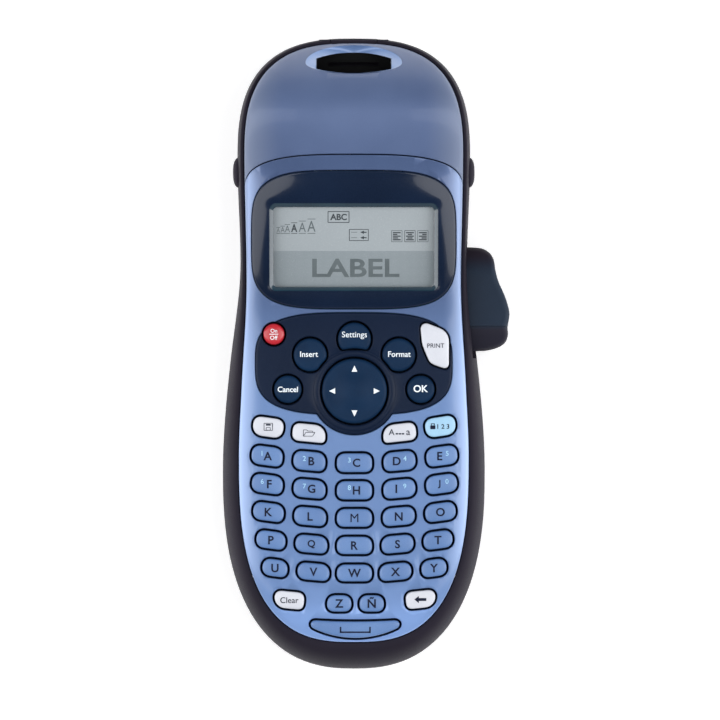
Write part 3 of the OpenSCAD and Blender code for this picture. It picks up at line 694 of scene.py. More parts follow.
key_mark("key_power", [bar((-1.3, 0), (1.3, 0), 0.22)], "power_bar", "ink_white")
key_mark("key_save", frame_bars(2.5, 2.1, 0.16, (0, 0.1)) + frame_bars(1.2, 0.8, 0.14, (0, -0.5))
         + [bar((-0.7, 0.7), (0.7, 0.7), 0.5)], "store")
key_mark("key_open", bars(0.16, (-1.6, -0.9, -1.6, 1.0), (-1.6, 0.95, -0.6, 0.95),
                          (-0.6, 0.95, -0.3, 0.6), (-0.3, 0.6, 1.1, 0.6), (1.1, 0.6, 1.1, 0.2),
                          (-0.9, 0.2, 1.8, 0.2), (-1.6, -0.9, -0.9, 0.2), (1.8, 0.2, 1.1, -0.9),
                          (-1.6, -0.9, 1.1, -0.9)), "folder")
key_mark("key_caps", bars(0.42, (-1.2, -0.3, -0.5, -0.3), (-0.3, -0.3, 0.4, -0.3),
                          (0.6, -0.3, 1.3, -0.3)), "case_bar")
key_mark("key_num", [round_rect(1.5, 1.1, 0.15, (-2.2, -0.25))] +
         bars(0.2, (-2.65, 0.2, -2.65, 0.8), (-1.75, 0.2, -1.75, 0.8), (-2.75, 0.8, -1.65, 0.8)),
         "lock")
key_mark("key_backspace", [np.array([(-1.8, 0), (-0.5, -1.05), (-0.5, 1.05)]),
                           bar((-0.6, 0), (1.7, 0), 0.85)], "back_arrow")
SPACE_MARK = [bar((-4.1, -82.1), (5.0, -82.1), 0.45), bar((-3.9, -82.3), (-3.9, -80.5), 0.4),
              bar((4.8, -82.3), (4.8, -80.5), 0.4)]
key_mark("key_space", [loop - key_middle("key_space")[0] for loop in SPACE_MARK], "space")

# -------------------------------------------------------------- front cover and lid

LEVELS = [1, 0.9995, 0.998, 0.994, 0.987, 0.976, 0.96, 0.935, 0.9, 0.85, 0.78, 0.68, 0.55, 0.4,
          0.2, 0]


def shell(ring, rise, thick, skirt):
    """Closed shell under the upper surface, whose edge turns down into a skirt."""
    spine = np.stack([np.zeros(len(ring)), ring[:, 2]], 1)
    inner = inset(ring, thick)

    def skin(r, down, order, exact):
        stack = []
        for s in order:
            xy = spine + (r[:, :2] - spine) * s
            z = face_at_share(xy[:, 1], s) if exact else face_z(xy[:, 0], xy[:, 1])
            stack.append(np.column_stack([xy, z + rise - down]))
        return stack

    low = rim_z(ring[:, 1]) + rise - skirt
    feet = [np.column_stack([ring[:, :2], low]), np.column_stack([inner[:, :2], low])]
    return strip(skin(ring, 0, LEVELS[::-1], True) + feet + skin(inner, thick, LEVELS, False))


def seam(shift):
    """The curved seam, moved towards the lid by a distance, from +X to -X."""
    a = np.radians(np.arange(0, 181, 2.0))
    return np.stack([SEAM_HALF_W * np.sign(np.cos(a)) * np.abs(np.cos(a)) ** SEAM_POWER,
                     SEAM_END_Y + (SEAM_Y - SEAM_END_Y) * np.abs(np.sin(a)) ** SEAM_POWER + shift], 1)


def beyond_seam(shift, far_y):
    """Loop round everything on one side of the seam."""
    line = seam(shift)
    corners = np.array([(-60, SEAM_END_Y + shift), (-60, far_y), (60, far_y),
                        (60, SEAM_END_Y + shift)])
    loop = np.vstack([line, corners])
    return loop[::-1] if far_y > SEAM_Y else loop


def radial(loop, centre, angles):
    """Distance from a centre to a loop round it, in each direction."""
    arm = resample(loop, 0.15) - centre
    a = np.arctan2(arm[:, 1], arm[:, 0])
    order = np.argsort(a)
    return np.interp(angles, a[order], np.hypot(*arm.T)[order], period=2 * math.pi)


def raised_face(rise):
    return lambda x, y: face_z(x, y) + rise


NAV = np.array([NAV_X, NAV_Y])
TURN = np.linspace(-math.pi, math.pi, 360, endpoint=False)
HEADING = np.stack([np.cos(TURN), np.sin(TURN)], 1)
SURROUND_LOOP = superellipse(30.1, 20.35, 0.5, (0, 33.85), 720)
PANEL_LOOP = superellipse(29, 15, 0.62, (0, -2.7), 720)
PANEL_MIN_R, RING_R = 12.9, 12.6
PANEL_REACH = np.maximum(radial(PANEL_LOOP, NAV, TURN), PANEL_MIN_R)
CONTROL_LOOP = NAV + HEADING * PANEL_REACH[:, None]
FACE_RING = outline(FACE)

front = put("front_cover", mesh_of("front_cover", shell(FACE_RING, 0.0, 1.9, SKIRT - 0.2)))
carve(front, cutter(beyond_seam(-SEAM_GAP, 130.0), face_z, 0.28))
carve(front, cutter(grow(resample(SURROUND_LOOP, 0.5), NEST), face_z, 0.3))
carve(front, cutter(grow(resample(CONTROL_LOOP, 0.5), NEST), face_z, 0.3))
CORNER_KEYS = ("key_print", "key_power")
OPEN_KEYS = [n for n in KEYS if SLOT_OF[n] != "key_navy" and n not in CORNER_KEYS]
carve(front, joined([cutter(grow(LOOPS[n], KEY_GAP + 0.12), face_z, 0.2) for n in OPEN_KEYS]))
for n in CORNER_KEYS:
    carve(front, cutter(drawn_in(LOOPS[n], -KEY_GAP), face_z, 0.3))
finish_piece(front, "case", MAT["case_blue"], ("front_housing",), 40)

# The lid, with the scooped label exit
EXIT_X = 11.0


def arc(x, middle_y, side_y, half_x):
    """Height of a shallow arc over x that passes its middle and its two sides."""
    return middle_y + (side_y - middle_y) * (x / half_x) ** 2


def lens(half_x, low, high, steps=24):
    """Loop between two arcs given as (middle y, side y), counter-clockwise."""
    x = np.linspace(-half_x, half_x, steps)
    lower = np.stack([x, arc(x, *low, half_x)], 1)
    upper = np.stack([x[::-1], arc(x[::-1], *high, half_x)], 1)
    return np.vstack([lower, upper])


lid = put("lid_cover", mesh_of("lid_cover", shell(FACE_RING, LID_STEP, 2.0, LID_STEP + 0.25)))
carve(lid, cutter(beyond_seam(SEAM_GAP, -130.0), raised_face(LID_STEP), 0.28))
EXIT_LOOP = lens(EXIT_X, (83.0, 84.3), (89.6, 87.55))
carve(lid, prism([at(EXIT_LOOP, 6.0), at(EXIT_LOOP, 60.0)]))
finish_piece(lid, "lid", MAT["lid_blue"], ("cassette_lid",), 40)

# ------------------------------------------------- display surround, control panel

WINDOW_MIDDLE = np.array([0.0, WINDOW_Y])
PLATE_T = 2.2
surround_z = raised_face(SURROUND_RISE)


def banded(centre, near, far, steps, profile, thick):
    """Ring-shaped plate between two loops round a centre; profile adds to its height."""
    inner = radial(near, centre, FINE_TURN)
    outer = radial(far, centre, FINE_TURN)
    stack, base = [], []
    for t in steps:
        reach = inner + (outer - inner) * t
        xy = centre + FINE_HEADING * reach[:, None]
        z = surround_z(xy[:, 0], xy[:, 1])
        stack.append(np.column_stack([xy, z + profile(t, reach, outer)]))
        base.append(np.column_stack([xy, z - thick]))
    return strip(stack + base[::-1], True)


FINE_TURN = np.linspace(-math.pi, math.pi, 540, endpoint=False)
FINE_HEADING = np.stack([np.cos(FINE_TURN), np.sin(FINE_TURN)], 1)
ROUNDING = 0.5


def edge_fall(distance, radius):
    """Fall of a quarter-round edge at a distance in from the edge."""
    d = np.clip(distance, 0, radius)
    return -(radius - np.sqrt(np.maximum(radius ** 2 - (radius - d) ** 2, 0)))


def surround_profile(t, reach, outer):
    return edge_fall(outer - reach, ROUNDING) + 0.15 * math.sin(math.pi * t) ** 1.2


STEPS = [0, 0.03, 0.08, 0.16, 0.28, 0.42, 0.56, 0.7, 0.8, 0.88, 0.93, 0.96, 0.98, 0.99, 0.996, 1]
BEVEL = 1.2
WINDOW_RIM = round_rect(WINDOW_W + 2 * BEVEL, WINDOW_H + 2 * BEVEL, 2.0, WINDOW_MIDDLE, 12)
piece("surround_frame", banded(WINDOW_MIDDLE, WINDOW_RIM, SURROUND_LOOP, STEPS, surround_profile,
                               PLATE_T), "case", MAT["navy_gloss"],
      ("display_surround",), 50)


def window_bevel():
    """Sloping inner frame from the gloss surround down to the display."""
    stack = []
    for grow_by, down in [(BEVEL + 0.02, 2.1), (BEVEL + 0.02, 0.05), (BEVEL - 0.25, 0.12),
                          (0.3, 0.75), (0.05, 0.95), (0, 1.2), (0, 3.3), (BEVEL, 3.3)]:
        loop = round_rect(WINDOW_W + 2 * grow_by, WINDOW_H + 2 * grow_by,
                          1.1 + 0.75 * grow_by, WINDOW_MIDDLE, 12)
        lifted = at(loop, surround_z)
        lifted[:, 2] -= down
        stack.append(lifted)
    return strip(stack, True)


piece("window_bevel", window_bevel(), "case", MAT["bevel"], (), 35)

NAV_HOLE = NAV_R + KEY_GAP
RING_PROFILE = [(NAV_HOLE, -0.3), (NAV_HOLE + 0.08, -0.05), (NAV_HOLE + 0.25, 0.12),
                (NAV_HOLE + 0.5, 0.2), (11.5, 0.2), (11.75, 0.12), (11.9, -0.06), (12.05, -0.12),
                (12.3, -0.12), (12.45, -0.04), (RING_R, 0.0)]
PANEL_STEPS = [0.2, 0.4, 0.6, 0.75, 0.86, 0.93, 0.96, 0.98, 0.99, 0.996, 1]


def control_plate():
    """Panel round the four-way pad, with a low ring about the pad's hole."""
    outer = np.maximum(radial(PANEL_LOOP, NAV, FINE_TURN), PANEL_MIN_R)
    levels = [(np.full(len(FINE_TURN), r), rise) for r, rise in RING_PROFILE]
    for t in PANEL_STEPS:
        reach = RING_R + (outer - RING_R) * t
        levels.append((reach, edge_fall(outer - reach, 0.4)))
    rings, base = [], []
    for reach, rise in levels:
        xy = NAV + FINE_HEADING * reach[:, None]
        z = surround_z(xy[:, 0], xy[:, 1])
        rings.append(np.column_stack([xy, z + rise]))
        base.append(np.column_stack([xy, z - 1.6]))
    return strip(rings + base[::-1], True)


panel = put("control_panel", mesh_of("control_panel", control_plate()))
for n in KEYS:
    if SLOT_OF[n] == "key_navy" or n in CORNER_KEYS:
        carve(panel, cutter(drawn_in(LOOPS[n], -KEY_GAP), surround_z, 0.3))
finish_piece(panel, "case", MAT["control"], (), 40)

# ----------------------------------------------------------------------- display

LCD_SINK = 3.0


def lcd_plane(x, y):
    """Height of the display glass."""
    return DISPLAY_LOW_Z + DISPLAY_SLOPE * (np.asarray(y, float) - DISPLAY_LOW_Y) - LCD_SINK


def lcd_glass():
    """Grey-green glass with the faint dot grid of its character field."""
    material = surface("lcd_glass", (156, 164, 169), (163, 171, 176), (0.2, 0.28), 30, 3000, 0.01,
                       coat=0.6, coat_rough=0.05)
    nodes, links = material.node_tree.nodes, material.node_tree.links
    shader = nodes["Principled BSDF"]
    ramp = shader.inputs["Base Color"].links[0].from_socket
    where = nodes.new("ShaderNodeTexCoord")
    split = nodes.new("ShaderNodeSeparateXYZ")
    links.new(where.outputs["Object"], split.inputs["Vector"])

    def math_node(operation, *values):
        node = nodes.new("ShaderNodeMath")
        node.operation = operation
        for socket, value in zip(node.inputs, values):
            if isinstance(value, (int, float)):
                socket.default_value = value
            else:
                links.new(value, socket)
        return node.outputs[0]

    lines = [math_node("GREATER_THAN", math_node("FRACT", math_node("MULTIPLY", split.outputs[k],
             1 / (0.33 * MM)), 0), 0.8) for k in "XY"]
    grid = math_node("MAXIMUM", lines[0], lines[1])
    inside = math_node("MULTIPLY", math_node("LESS_THAN", split.outputs["Y"], 30.6 * MM),
                       math_node("MULTIPLY_ADD", grid, 0.55, 0.3))
    tint = nodes.new("ShaderNodeMix")
    tint.data_type = "RGBA"
    links.new(inside, tint.inputs["Factor"])
    links.new(ramp, tint.inputs[6])
    tint.inputs[7].default_value = rgb(112, 124, 130)
    links.new(tint.outputs[2], shader.inputs["Base Color"])
    return material


MAT["lcd"] = lcd_glass()
MAT["segment"] = surface("segment", (44, 52, 58), (56, 64, 70), (0.4, 0.5), 300, 5000, 0.01)
MAT["faint"] = surface("faint", (78, 88, 92), (90, 100, 104), (0.4, 0.5), 300, 5000, 0.01)
LCD_LOOP = round_rect(WINDOW_W + 3, WINDOW_H + 3, 0.5, WINDOW_MIDDLE)


def slab(loop, z, thick):
    low = at(loop, z)
    low[:, 2] -= thick
    return prism([low, at(loop, z)])


piece("lcd_cell", slab(LCD_LOOP, lcd_plane, 2.6), "case", MAT["lcd"], ("lcd_module",))
piece("lcd_carrier", slab(round_rect(WINDOW_W + 5, WINDOW_H + 6, 0.8, WINDOW_MIDDLE),
                          lambda x, y: lcd_plane(x, y) - 2.7, 1.2), "case", MAT["board"])


def lcd_mark(name, loops, ink="segment"):
    mark("lcd_" + name, loops, lcd_plane, "case", MAT[ink], 0.06)


def lcd_text(name, text, size, middle, ink="segment", **options):
    lettering("lcd_" + name, text, size, middle, lcd_plane, "case", "lcd", MAT[ink], 0.06, **options)


SIZE_BASE = 35.8
for k, (x, h) in enumerate([(-22.3, 1.7), (-21.0, 2.1), (-19.6, 2.6), (-17.6, 3.1), (-15.2, 3.6),
                            (-12.5, 4.2)]):
    ink = "segment" if k == 3 else "faint"
    lcd_text(f"size_{k}", "A", h * 0.76, (x, SIZE_BASE + 0.05 + h * 0.48), ink,
             bold=0.03 if k == 3 else 0.0, wide=0.78)
    half = 0.25 * h + 0.12
    lcd_mark(f"size_bars_{k}", [bar((x - half, SIZE_BASE - 0.05), (x + half, SIZE_BASE - 0.05), 0.18),
                                bar((x - half, SIZE_BASE + h), (x + half, SIZE_BASE + h), 0.18)], ink)
lcd_mark("case_frame", frame_bars(6.2, 3.2, 0.22, (-4.5, 40.6)))
lcd_text("case_text", "ABC", 1.9, (-4.5, 40.6), bold=0.03)
lcd_mark("line_frame", frame_bars(5.6, 3.3, 0.2, (1.5, 35.3)))
lcd_mark("line_arrows", [np.array([(1.9, y), (3.0, y - 0.5), (3.0, y + 0.5)]) for y in (34.5, 36.1)]
         + [bar((2.9, y), (3.8, y), 0.3) for y in (34.5, 36.1)]
         + [bar((-0.8, y), (1.0, y), 0.12) for y in (34.5, 36.1)])
for k, (x, shift) in enumerate([(12.7, -0.3), (16.6, 0), (20.4, 0.3)]):
    rows = [bar((x - w / 2 + shift * (2.3 - w) * 1.6, 33.9 + 0.52 * i),
                (x + w / 2 + shift * (2.3 - w) * 1.6, 33.9 + 0.52 * i), 0.36)
            for i, w in enumerate([2.3, 1.5, 2.3, 1.3, 2.3])]
    lcd_mark(f"align_{k}", rows, "segment")
    lcd_mark(f"align_frame_{k}", frame_bars(3.1, 3.3, 0.16, (x, 34.95)), "segment" if k == 1 else "faint")
lcd_text("word", "LABEL", 5.4, (0.6, 25.6), "faint", bold=0.02, wide=1.3)

# ------------------------------------------------------------- pad, lever and exit

NAV_LOW, NAV_HIGH = (v[2] for v in box_mm("nav_pad"))
rounding = [(NAV_R - 0.9 * (1 - math.cos(a)), NAV_HIGH - 0.9 * (1 - math.sin(a)))
            for a in np.radians([0, 18, 36, 54, 72, 90])]
piece("nav_disc", moved(lathe([(NAV_R - 0.3, NAV_LOW), (NAV_R, NAV_LOW + 0.3)] + rounding + [
    (7.8, NAV_HIGH - 0.02), (6.6, NAV_HIGH - 0.06), (5.4, NAV_HIGH - 0.2), (4.2, NAV_HIGH - 0.42),
    (3, NAV_HIGH - 0.6), (1.6, NAV_HIGH - 0.74), (0.4, NAV_HIGH - 0.78)], 96),
    placed(NAV_X, NAV_Y, 0)), "nav", MAT["key_navy"], ("nav_pad",), 40)
for k, tip in enumerate([(0, 1), (-1, 0), (0, -1), (1, 0)]):
    tip = np.array(tip, float)
    side = np.array([-tip[1], tip[0]])
    middle = NAV + tip * 6.55
    arrow = grow(np.array([middle + tip * 0.75, middle - tip * 0.75 + side * 0.7,
                           middle - tip * 0.75 - side * 0.7]), 0.1)
    mark(f"nav_arrow_{k}", [arrow], lambda x, y: np.full(len(x), NAV_HIGH - 0.02), "nav",
         MAT["ink_white"], 0.2)


def curve_through(points, steps=8):
    """Smooth open curve through points."""
    p = np.array([points[0]] + list(points) + [points[-1]], float)
    out = []
    for k in range(1, len(p) - 2):
        for t in np.arange(steps) / steps:
            out.append(0.5 * (2 * p[k] + (p[k + 1] - p[k - 1]) * t
                              + (2 * p[k - 1] - 5 * p[k] + 4 * p[k + 1] - p[k + 2]) * t ** 2
                              + (3 * p[k] - p[k - 1] - 3 * p[k + 1] + p[k + 2]) * t ** 3))
    return np.array(out + [p[-2]])


LEVER_X, LEVER_Y, LEVER_LOW, LEVER_HIGH = 24.0, 30.0, 12.0, 28.5
PADDLE = curve_through([(33.4, 0.9), (36.5, 0.75), (41.6, 1.6), (44.6, 3.2), (45.7, 5.6), (45.6, 8.2),
                        (46.15, 12.0), (45.5, 15.2), (44.4, 18.2), (42.9, 21.6), (42.0, 24.8),
                        (41.6, 27.6), (40.7, 29.6), (39.2, 30.9), (37.2, 31.6), (33.4, 31.8)])


STEP_Y, PADDLE_EDGE = 8.4, 1.5


def paddle_top(y):
    """Top of the finger lever: flat in the middle, a step near its low end, falling at both ends."""
    low_end = np.clip((STEP_Y - y) / 7.6, 0, 1)
    high_end = np.clip((y - 23) / 9, 0, 1)
    return LEVER_HIGH - 1.0 * (low_end > 0) - 3.2 * low_end ** 1.5 - 2.6 * high_end ** 2


def paddle():
    """Finger lever as even cross-sections along Y, rounded wherever its outline is near."""
    outline_points = resample(PADDLE, 0.1)
    outline_points = outline_points[outline_points[:, 0] > PADDLE[0, 0] + 0.01]
    low_y, high_y = PADDLE[:, 1].min(), PADDLE[:, 1].max()
    share = (1 - np.cos(np.linspace(0, math.pi, 64))) / 2
    stations = np.sort(np.append(low_y + (high_y - low_y) * share, [STEP_Y - 0.06, STEP_Y + 0.06]))
    across = 1 - (1 - np.linspace(0, 1, 24)) ** 1.8
    order = np.argsort(PADDLE[:, 1])
    rings = []
    for y in stations:
        right = np.interp(y, PADDLE[order, 1], PADDLE[order, 0])
        x = PADDLE[0, 0] + (right - PADDLE[0, 0]) * across
        gap = np.hypot(x[:, None] - outline_points[:, 0], y - outline_points[:, 1]).min(1)
        gap[-1] = 0
        if y in (stations[0], stations[-1]):
            gap[:] = 0
        fall = edge_fall(np.minimum(gap, PADDLE_EDGE), PADDLE_EDGE)
        upper = np.column_stack([x, np.full(len(x), y), paddle_top(np.full(len(x), y)) + fall])
        lower = np.column_stack([x, np.full(len(x), y), LEVER_LOW - fall])
        rings.append(np.vstack([upper, lower[::-1]]))
    return solid(rings)


lever_arm = [prism([at(np.array([(24, 27), (31.4, 6), (34.4, 6), (34.4, 30), (24, 33)]), z)
                    for z in (13.2, 20.8)]),
             block((20.4, 30, 17), (23.6, 74, 20), 0.3),
             moved(tube([(1.6, 0), (3.4, 0), (3.4, 7), (1.6, 7)]), placed(LEVER_X, LEVER_Y, 13)),
             block((19.6, 72, 17), (24.4, 75.4, 20), 0.3), block((19.6, 75, 17), (20.65, 79.2, 20), 0.2),
             block((23.35, 75, 17), (24.4, 79.2, 20), 0.2)]
piece("lever_paddle", paddle(), "lever", MAT["lever"], ("cutter_lever",), 32)
piece("lever_arm", joined(lever_arm), "lever", MAT["lever"], (), 35)

lid_z = raised_face(LID_STEP)
round_turn = np.linspace(0, 2 * math.pi, 144, endpoint=False)
SCOOP_HALF_W, SCOOP_Y, SCOOP_UP, SCOOP_DOWN = 14.3, 86.2, 5.55, 3.24
SCOOP_LOOP = np.column_stack([
    SCOOP_HALF_W * np.cos(round_turn),
    SCOOP_Y + np.where(round_turn < math.pi, SCOOP_UP, SCOOP_DOWN) * np.sin(round_turn)])
EXIT_MIDDLE = np.array([0.0, 86.6])


def scoop():
    """Bright rim round the exit: down from the lid's skin to the mouth's edge."""
    outer = EXIT_MIDDLE + HEADING * (radial(SCOOP_LOOP, EXIT_MIDDLE, TURN) - 0.03)[:, None]
    inner = EXIT_MIDDLE + HEADING * radial(EXIT_LOOP, EXIT_MIDDLE, TURN)[:, None]
    rings, base = [], []
    rim = lid_z(outer[:, 0], outer[:, 1])
    sink = rim - 0.9
    for t in (0, 0.06, 0.2, 0.4, 0.6, 0.8, 0.94, 1):
        xy = outer + (inner - outer) * t
        z = rim - 0.12 + (sink - rim) * (1 - (1 - t) ** 2.2)
        rings.append(np.column_stack([xy, z]))
        base.append(np.column_stack([xy, np.minimum(z - 1.2, rim - 1.6)]))
    return strip(rings + base[::-1], True)


hinge_turn = (0, 90, 0)
HINGE_Y, HINGE_Z, BARREL_R, PIN_R, BARREL_HALF, KNUCKLE_W = NOSE_Y - 1.6, 18.0, 1.2, 0.75, 7.0, 3.4


def nose_clearance():
    """Room round the hinge line for the case's rim while the lid swings open."""
    rim = np.column_stack([inset(FACE_RING, -NEST)[:, :2], rim_z(FACE_RING[:, 1])])
    rim = rim[(rim[:, 1] > 60)]
    rim = rim[np.argsort(rim[:, 0])]
    turn = np.linspace(0, 2 * math.pi, 96, endpoint=False)
    rings = []
    for x in np.linspace(-19, 19, 77):
        y, z = (np.interp(x, rim[:, 0], rim[:, k]) for k in (1, 2))
        reach = max(math.hypot(y - HINGE_Y, z - HINGE_Z) + 0.12, 2.0)
        rings.append(np.column_stack([np.full(96, x), HINGE_Y + reach * np.cos(turn),
                                      HINGE_Z + reach * np.sin(turn)]))
    return solid(rings)


lid = bpy.data.objects["lid_cover"]
carve(lid, prism([at(SCOOP_LOOP, 6.0), at(SCOOP_LOOP, 60.0)]))
carve(lid, nose_clearance())
finish_piece(lid, "lid", MAT["lid_blue"], (), 40)
piece("exit_scoop", scoop(), "lid", MAT["exit_blue"], (), 35)
# Near-black floor under the mouth, with the label slot: painted shade for the deep label exit
THROAT_LOW = 21.5
throat = put("exit_throat", mesh_of("exit_throat", prism([
    at(grow(EXIT_LOOP, 0.4), THROAT_LOW - 1), at(grow(EXIT_LOOP, 0.4), THROAT_LOW)])))
carve(throat, prism([at(round_rect(15, 1.2, 0.4, (0, 86.2)), 10.0),
                     at(round_rect(15, 1.2, 0.4, (0, 86.2)), 40.0)]))
finish_piece(throat, "lid", MAT["throat"], (), 35)


def throat_skirt():
    """Near-black wall from the mouth's edge down to the throat's floor: painted shade for the deep label
    exit.
    """
    inner = EXIT_MIDDLE + HEADING * (radial(EXIT_LOOP, EXIT_MIDDLE, TURN) + 0.03)[:, None]
    outer = EXIT_MIDDLE + HEADING * (radial(EXIT_LOOP, EXIT_MIDDLE, TURN) + 0.5)[:, None]
    scoop_at = EXIT_MIDDLE + HEADING * (radial(SCOOP_LOOP, EXIT_MIDDLE, TURN))[:, None]
    top = lid_z(scoop_at[:, 0], scoop_at[:, 1]) - 0.95
    return strip([np.column_stack([inner, top]), np.column_stack([outer, top - 0.3]),
                  at(outer, THROAT_LOW - 1), at(inner, THROAT_LOW - 1)], True)


piece("exit_wall", throat_skirt(), "lid", MAT["throat"], (), 35)
barrel = lathe([(0.9, -6.8), (BARREL_R, -6.5), (BARREL_R, 6.5), (0.9, 6.8)], 32)
pin = lathe([(PIN_R, -9.8), (PIN_R, 9.8)], 24)
leaf = block((-6.5, HINGE_Y - 1.0, HINGE_Z - 0.2), (6.5, HINGE_Y - 0.2, THROAT_LOW), 0.2)
piece("lid_hinge", joined([moved(barrel, placed(0, HINGE_Y, HINGE_Z, hinge_turn)),
                           moved(pin, placed(0, HINGE_Y, HINGE_Z, hinge_turn)), leaf]),
      "lid", MAT["case_dark"], (), 35)

# ---------------------------------------------------------------------- rear shell

CASE_RING = outline(CASE)


def belly_inset(z):
    return 6 * (1 - math.sqrt(max(0.0, 1 - (1 - min(z, 12) / 12) ** 4)))


def case_rings(d, top_ring, top_z):
    rings = []
    for z in (0, 0.15, 0.4, 0.8, 1.4, 2.2, 3.4, 5, 7, 9.5, 12):
        rings.append(at(inset(CASE_RING, d + belly_inset(z)), d + z))
    hull = inset(CASE_RING, d)
    for v in (0.12, 0.25, 0.38, 0.5, 0.62, 0.74, 0.85, 0.93, 0.975, 1):
        f = 1 - math.cos(math.pi / 2 * v)
        xy = hull[:, :2] + (top_ring[:, :2] - hull[:, :2]) * f
        z = BELT_Z + (top_z - BELT_Z) * math.sin(math.pi / 2 * v)
        rings.append(np.column_stack([xy, z]))
    return rings


LIP_RING = inset(FACE_RING, -LIP)
NEST_RING = inset(FACE_RING, -NEST)
lip_z = rim_z(FACE_RING[:, 1])
outer_rings = case_rings(0, LIP_RING, lip_z)
inner_rings = case_rings(WALL, NEST_RING, lip_z - SKIRT)
lip_rings = [np.column_stack([inset(FACE_RING, -0.8)[:, :2], lip_z + 0.06]),
             np.column_stack([inset(FACE_RING, -0.35)[:, :2], lip_z + 0.04]),
             np.column_stack([NEST_RING[:, :2], lip_z - 0.15])]
rear = put("rear_shell", mesh_of("rear_shell", solid(outer_rings + lip_rings + inner_rings[::-1])))
DOOR_X, DOOR_LOW_Y, DOOR_HIGH_Y, DOOR_GAP = 30.0, -66.4, -11.6, 0.3
DOOR_MIDDLE = (0, (DOOR_LOW_Y + DOOR_HIGH_Y) / 2)
SCREWS = [(-20, -75.5), (20, -75.5), (-30.5, -5.6), (30.5, -5.6), (-28.6, 44), (28.6, 44)]
door_mouth = round_rect(2 * (DOOR_X + DOOR_GAP), DOOR_HIGH_Y - DOOR_LOW_Y + 2 * DOOR_GAP, 0.5,
                        DOOR_MIDDLE, 4)
carve(rear, prism([at(grow(door_mouth, 0.3), -1), at(grow(door_mouth, 0.3), 0.0),
                   at(door_mouth, 0.35), at(door_mouth, 5)]))
carve(rear, block((28.5, -1.1, 11.5), (48.5, 32.8, 29), 0.2))
carve(rear, moved(lathe([(BARREL_R + 0.3, -BARREL_HALF), (BARREL_R + 0.3, BARREL_HALF)], 48),
                  placed(0, HINGE_Y, HINGE_Z, hinge_turn)))
for x, y in SCREWS:
    carve(rear, moved(tube([(1.3, 1.2), (2.8, 1.2), (2.8, 22.3), (1.3, 22.3)], 32), placed(x, y, 0)),
          "UNION")
carve(rear, joined([moved(lathe([(2.4, -1), (2.4, 0), (2.1, 0.25), (2.1, 3)], 40), placed(x, y, 0))
                    for x, y in SCREWS]))
finish_piece(rear, "case", MAT["case_dark"], ("rear_housing",), 35)

for side, tag in ((1, "right"), (-1, "left")):
    dome = [(4.5, 0), (4.5, 2.4)] + [(4.5 * math.cos(a) ** 0.7, 2.4 + 1.7 * math.sin(a))
                                     for a in np.radians([8, 18, 30, 42, 54, 66, 77, 86])]
    piece("grip_" + tag, moved(lathe(dome, 64), placed(side * 31.7, 53.9, 26, (0, side * 90, 0))),
          "case", MAT["case_dark"], (), 35)

bay_loop = inset(CASE_RING, WALL - 0.1)[:, :2]
bay_loop = bay_loop[bay_loop[:, 1] > 57][::-1]
bay_loop = bay_loop[np.argsort(np.arctan2(bay_loop[:, 1] - 70, bay_loop[:, 0]))]
bay = put("bay_floor", mesh_of("bay_floor", prism([at(bay_loop, 12.0), at(bay_loop, 13.5)])))
carve(bay, moved(lathe([(2.1, 10), (2.1, 16)], 32), placed(5, 68, 0)))
finish_piece(bay, "case", MAT["case_dark"], (), 35)
pillars = [moved(lathe([(3.0, 1.2), (3.0, 12.6), (1.5, 12.6), (1.5, 20.7), (1.2, 21)], 32),
                 placed(LEVER_X, LEVER_Y, 0)),
           moved(lathe([(1, 1.2), (1, 8)], 24), placed(5, 53, 0)),
           moved(lathe([(2.4, 1.2), (2.4, 3.7)], 24), placed(5, 68, 0))]
knuckles = [moved(tube([(PIN_R + 0.06, -1.6), (BARREL_R, -1.6), (BARREL_R, 1.6), (PIN_R + 0.06, 1.6)], 32),
                  placed(s * (BARREL_HALF + KNUCKLE_W / 2), HINGE_Y, HINGE_Z, hinge_turn))
            for s in (-1, 1)]
piece("case_pillars", joined(pillars), "case", MAT["case_dark"], (), 35)
piece("hinge_knuckles", joined(knuckles), "case", MAT["case_dark"], (), 35)

door_loop = round_rect(2 * DOOR_X, DOOR_HIGH_Y - DOOR_LOW_Y, 0.4, DOOR_MIDDLE, 4)
door = put("door_panel", mesh_of("door_panel", prism([
    at(grow(door_loop, -0.3), 0.0), at(door_loop, 0.3), at(door_loop, 1.8), at(grow(door_loop, -0.2), 2)])))
carve(door, joined([block((-7, DOOR_LOW_Y + 6 + 2.2 * k, -1), (7, DOOR_LOW_Y + 7 + 2.2 * k, 0.5), 0.1)
                    for k in range(5)]))
carve(door, block((-6, DOOR_LOW_Y + 0.2, 1.9), (6, DOOR_LOW_Y + 1.2, 4.4), 0.2), "UNION")
finish_piece(door, "door", MAT["case_dark"], ("battery_door",), 35)

screw = put("screw_mould", mesh_of("screw_mould", lathe(
    [(1.0, 1.7), (1.7, 1.75), (1.95, 2.1), (1.95, 2.7), (1.1, 3.2), (1.1, 8)], 40)))
carve(screw, block((-1.3, -0.25, 1), (1.3, 0.25, 2.4), 0.05))
carve(screw, block((-0.25, -1.3, 1), (0.25, 1.3, 2.4), 0.05))
for k, (x, y) in enumerate(SCREWS):
    obj = put(f"screw_{k}", screw.data.copy())
    obj.data.transform(Matrix.Translation((x * MM, y * MM, 0)))
    finish_piece(obj, "case", MAT["steel"], (), 35)
bpy.data.objects.remove(screw)

# ------------------------------------------------------------------ pieces inside

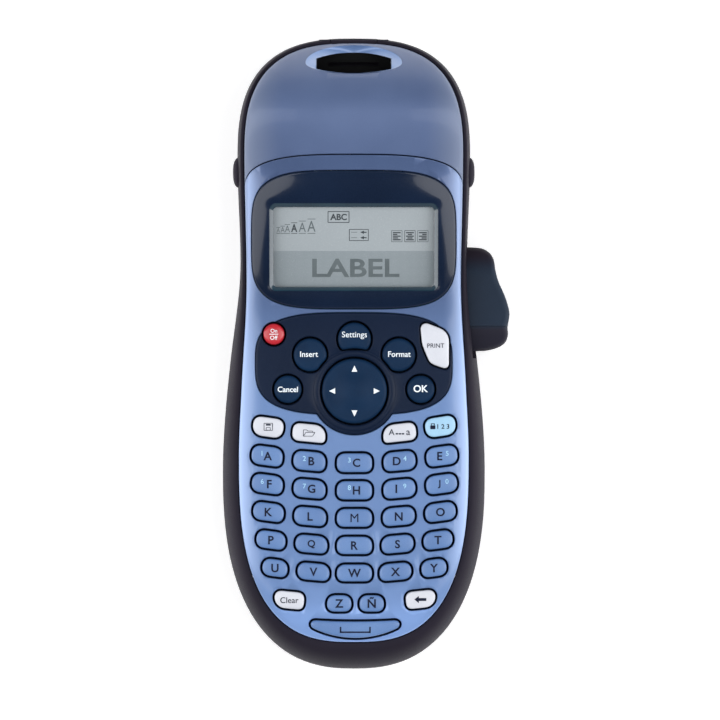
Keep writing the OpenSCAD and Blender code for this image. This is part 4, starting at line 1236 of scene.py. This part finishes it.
INSIDE = {"keypad_mat": "mat", "main_board": "board", "battery_cells": "cells",
          "label_cassette": "cassette", "print_head": "steel", "drive_motor": "steel",
          "motor_pinion": "brass", "idler_gear": "gear", "platen_roller": "platen",
          "nav_pivot": "steel", "cutter_blade": "steel"}
for node, finish in INSIDE.items():
    for place in frame["nodes"][node].material_slots:
        place.material = MAT[finish]

# ------------------------------------------------------------ floor, light, camera

floor = put("floor", mesh_of("floor", prism([at(round_rect(1800, 1800, 40), -6.0),
                                             at(round_rect(1800, 1800, 40), 0.0)])))
floor.data.materials.append(MAT["floor"])
glow = MAT["floor"].node_tree.nodes["Principled BSDF"]
glow.inputs["Emission Color"].default_value = (1, 1, 1, 1)
glow.inputs["Emission Strength"].default_value = 0.35


def lamp(name, place, aim, size, power):
    """Rectangular soft light."""
    light = bpy.data.lights.new(name, "AREA")
    light.shape = "RECTANGLE"
    light.size, light.size_y = size
    light.energy = power
    obj = put(name, light)
    obj.location = place
    obj.rotation_euler = (Vector(aim) - Vector(place)).to_track_quat("-Z", "Y").to_euler()


lamp("left_box", (-0.95, 0.0, 0.75), (0, 0, 0.02), (0.7, 2.4), 17.0)
lamp("right_box", (0.95, 0.0, 0.75), (0, 0, 0.02), (0.7, 2.4), 19.0)

world = bpy.data.worlds.new("studio")
world.use_nodes = True
sky, links = world.node_tree.nodes, world.node_tree.links
heading = sky.new("ShaderNodeTexCoord")
parts = sky.new("ShaderNodeSeparateXYZ")
dim = sky.new("ShaderNodeMapRange")
dim.interpolation_type = "SMOOTHSTEP"
for socket, value in (("From Min", 0.45), ("From Max", 0.92), ("To Min", 0.5), ("To Max", 0.06)):
    dim.inputs[socket].default_value = value
links.new(heading.outputs["Generated"], parts.inputs["Vector"])
links.new(parts.outputs["Z"], dim.inputs["Value"])
links.new(dim.outputs["Result"], sky["Background"].inputs["Strength"])
sky["Background"].inputs["Color"].default_value = (1, 1, 1, 1)
bpy.context.scene.world = world

camera = bpy.data.cameras.new("camera")
camera.sensor_width = 36
camera.lens = 506.8
camera.clip_start, camera.clip_end = 0.1, 10
eye = put("camera", camera)
eye.location = (0.00184, -0.00163, 3.03)
eye.rotation_euler = (0, 0, 0)
bpy.context.scene.camera = eye
bpy.context.scene.view_settings.view_transform = "Standard"
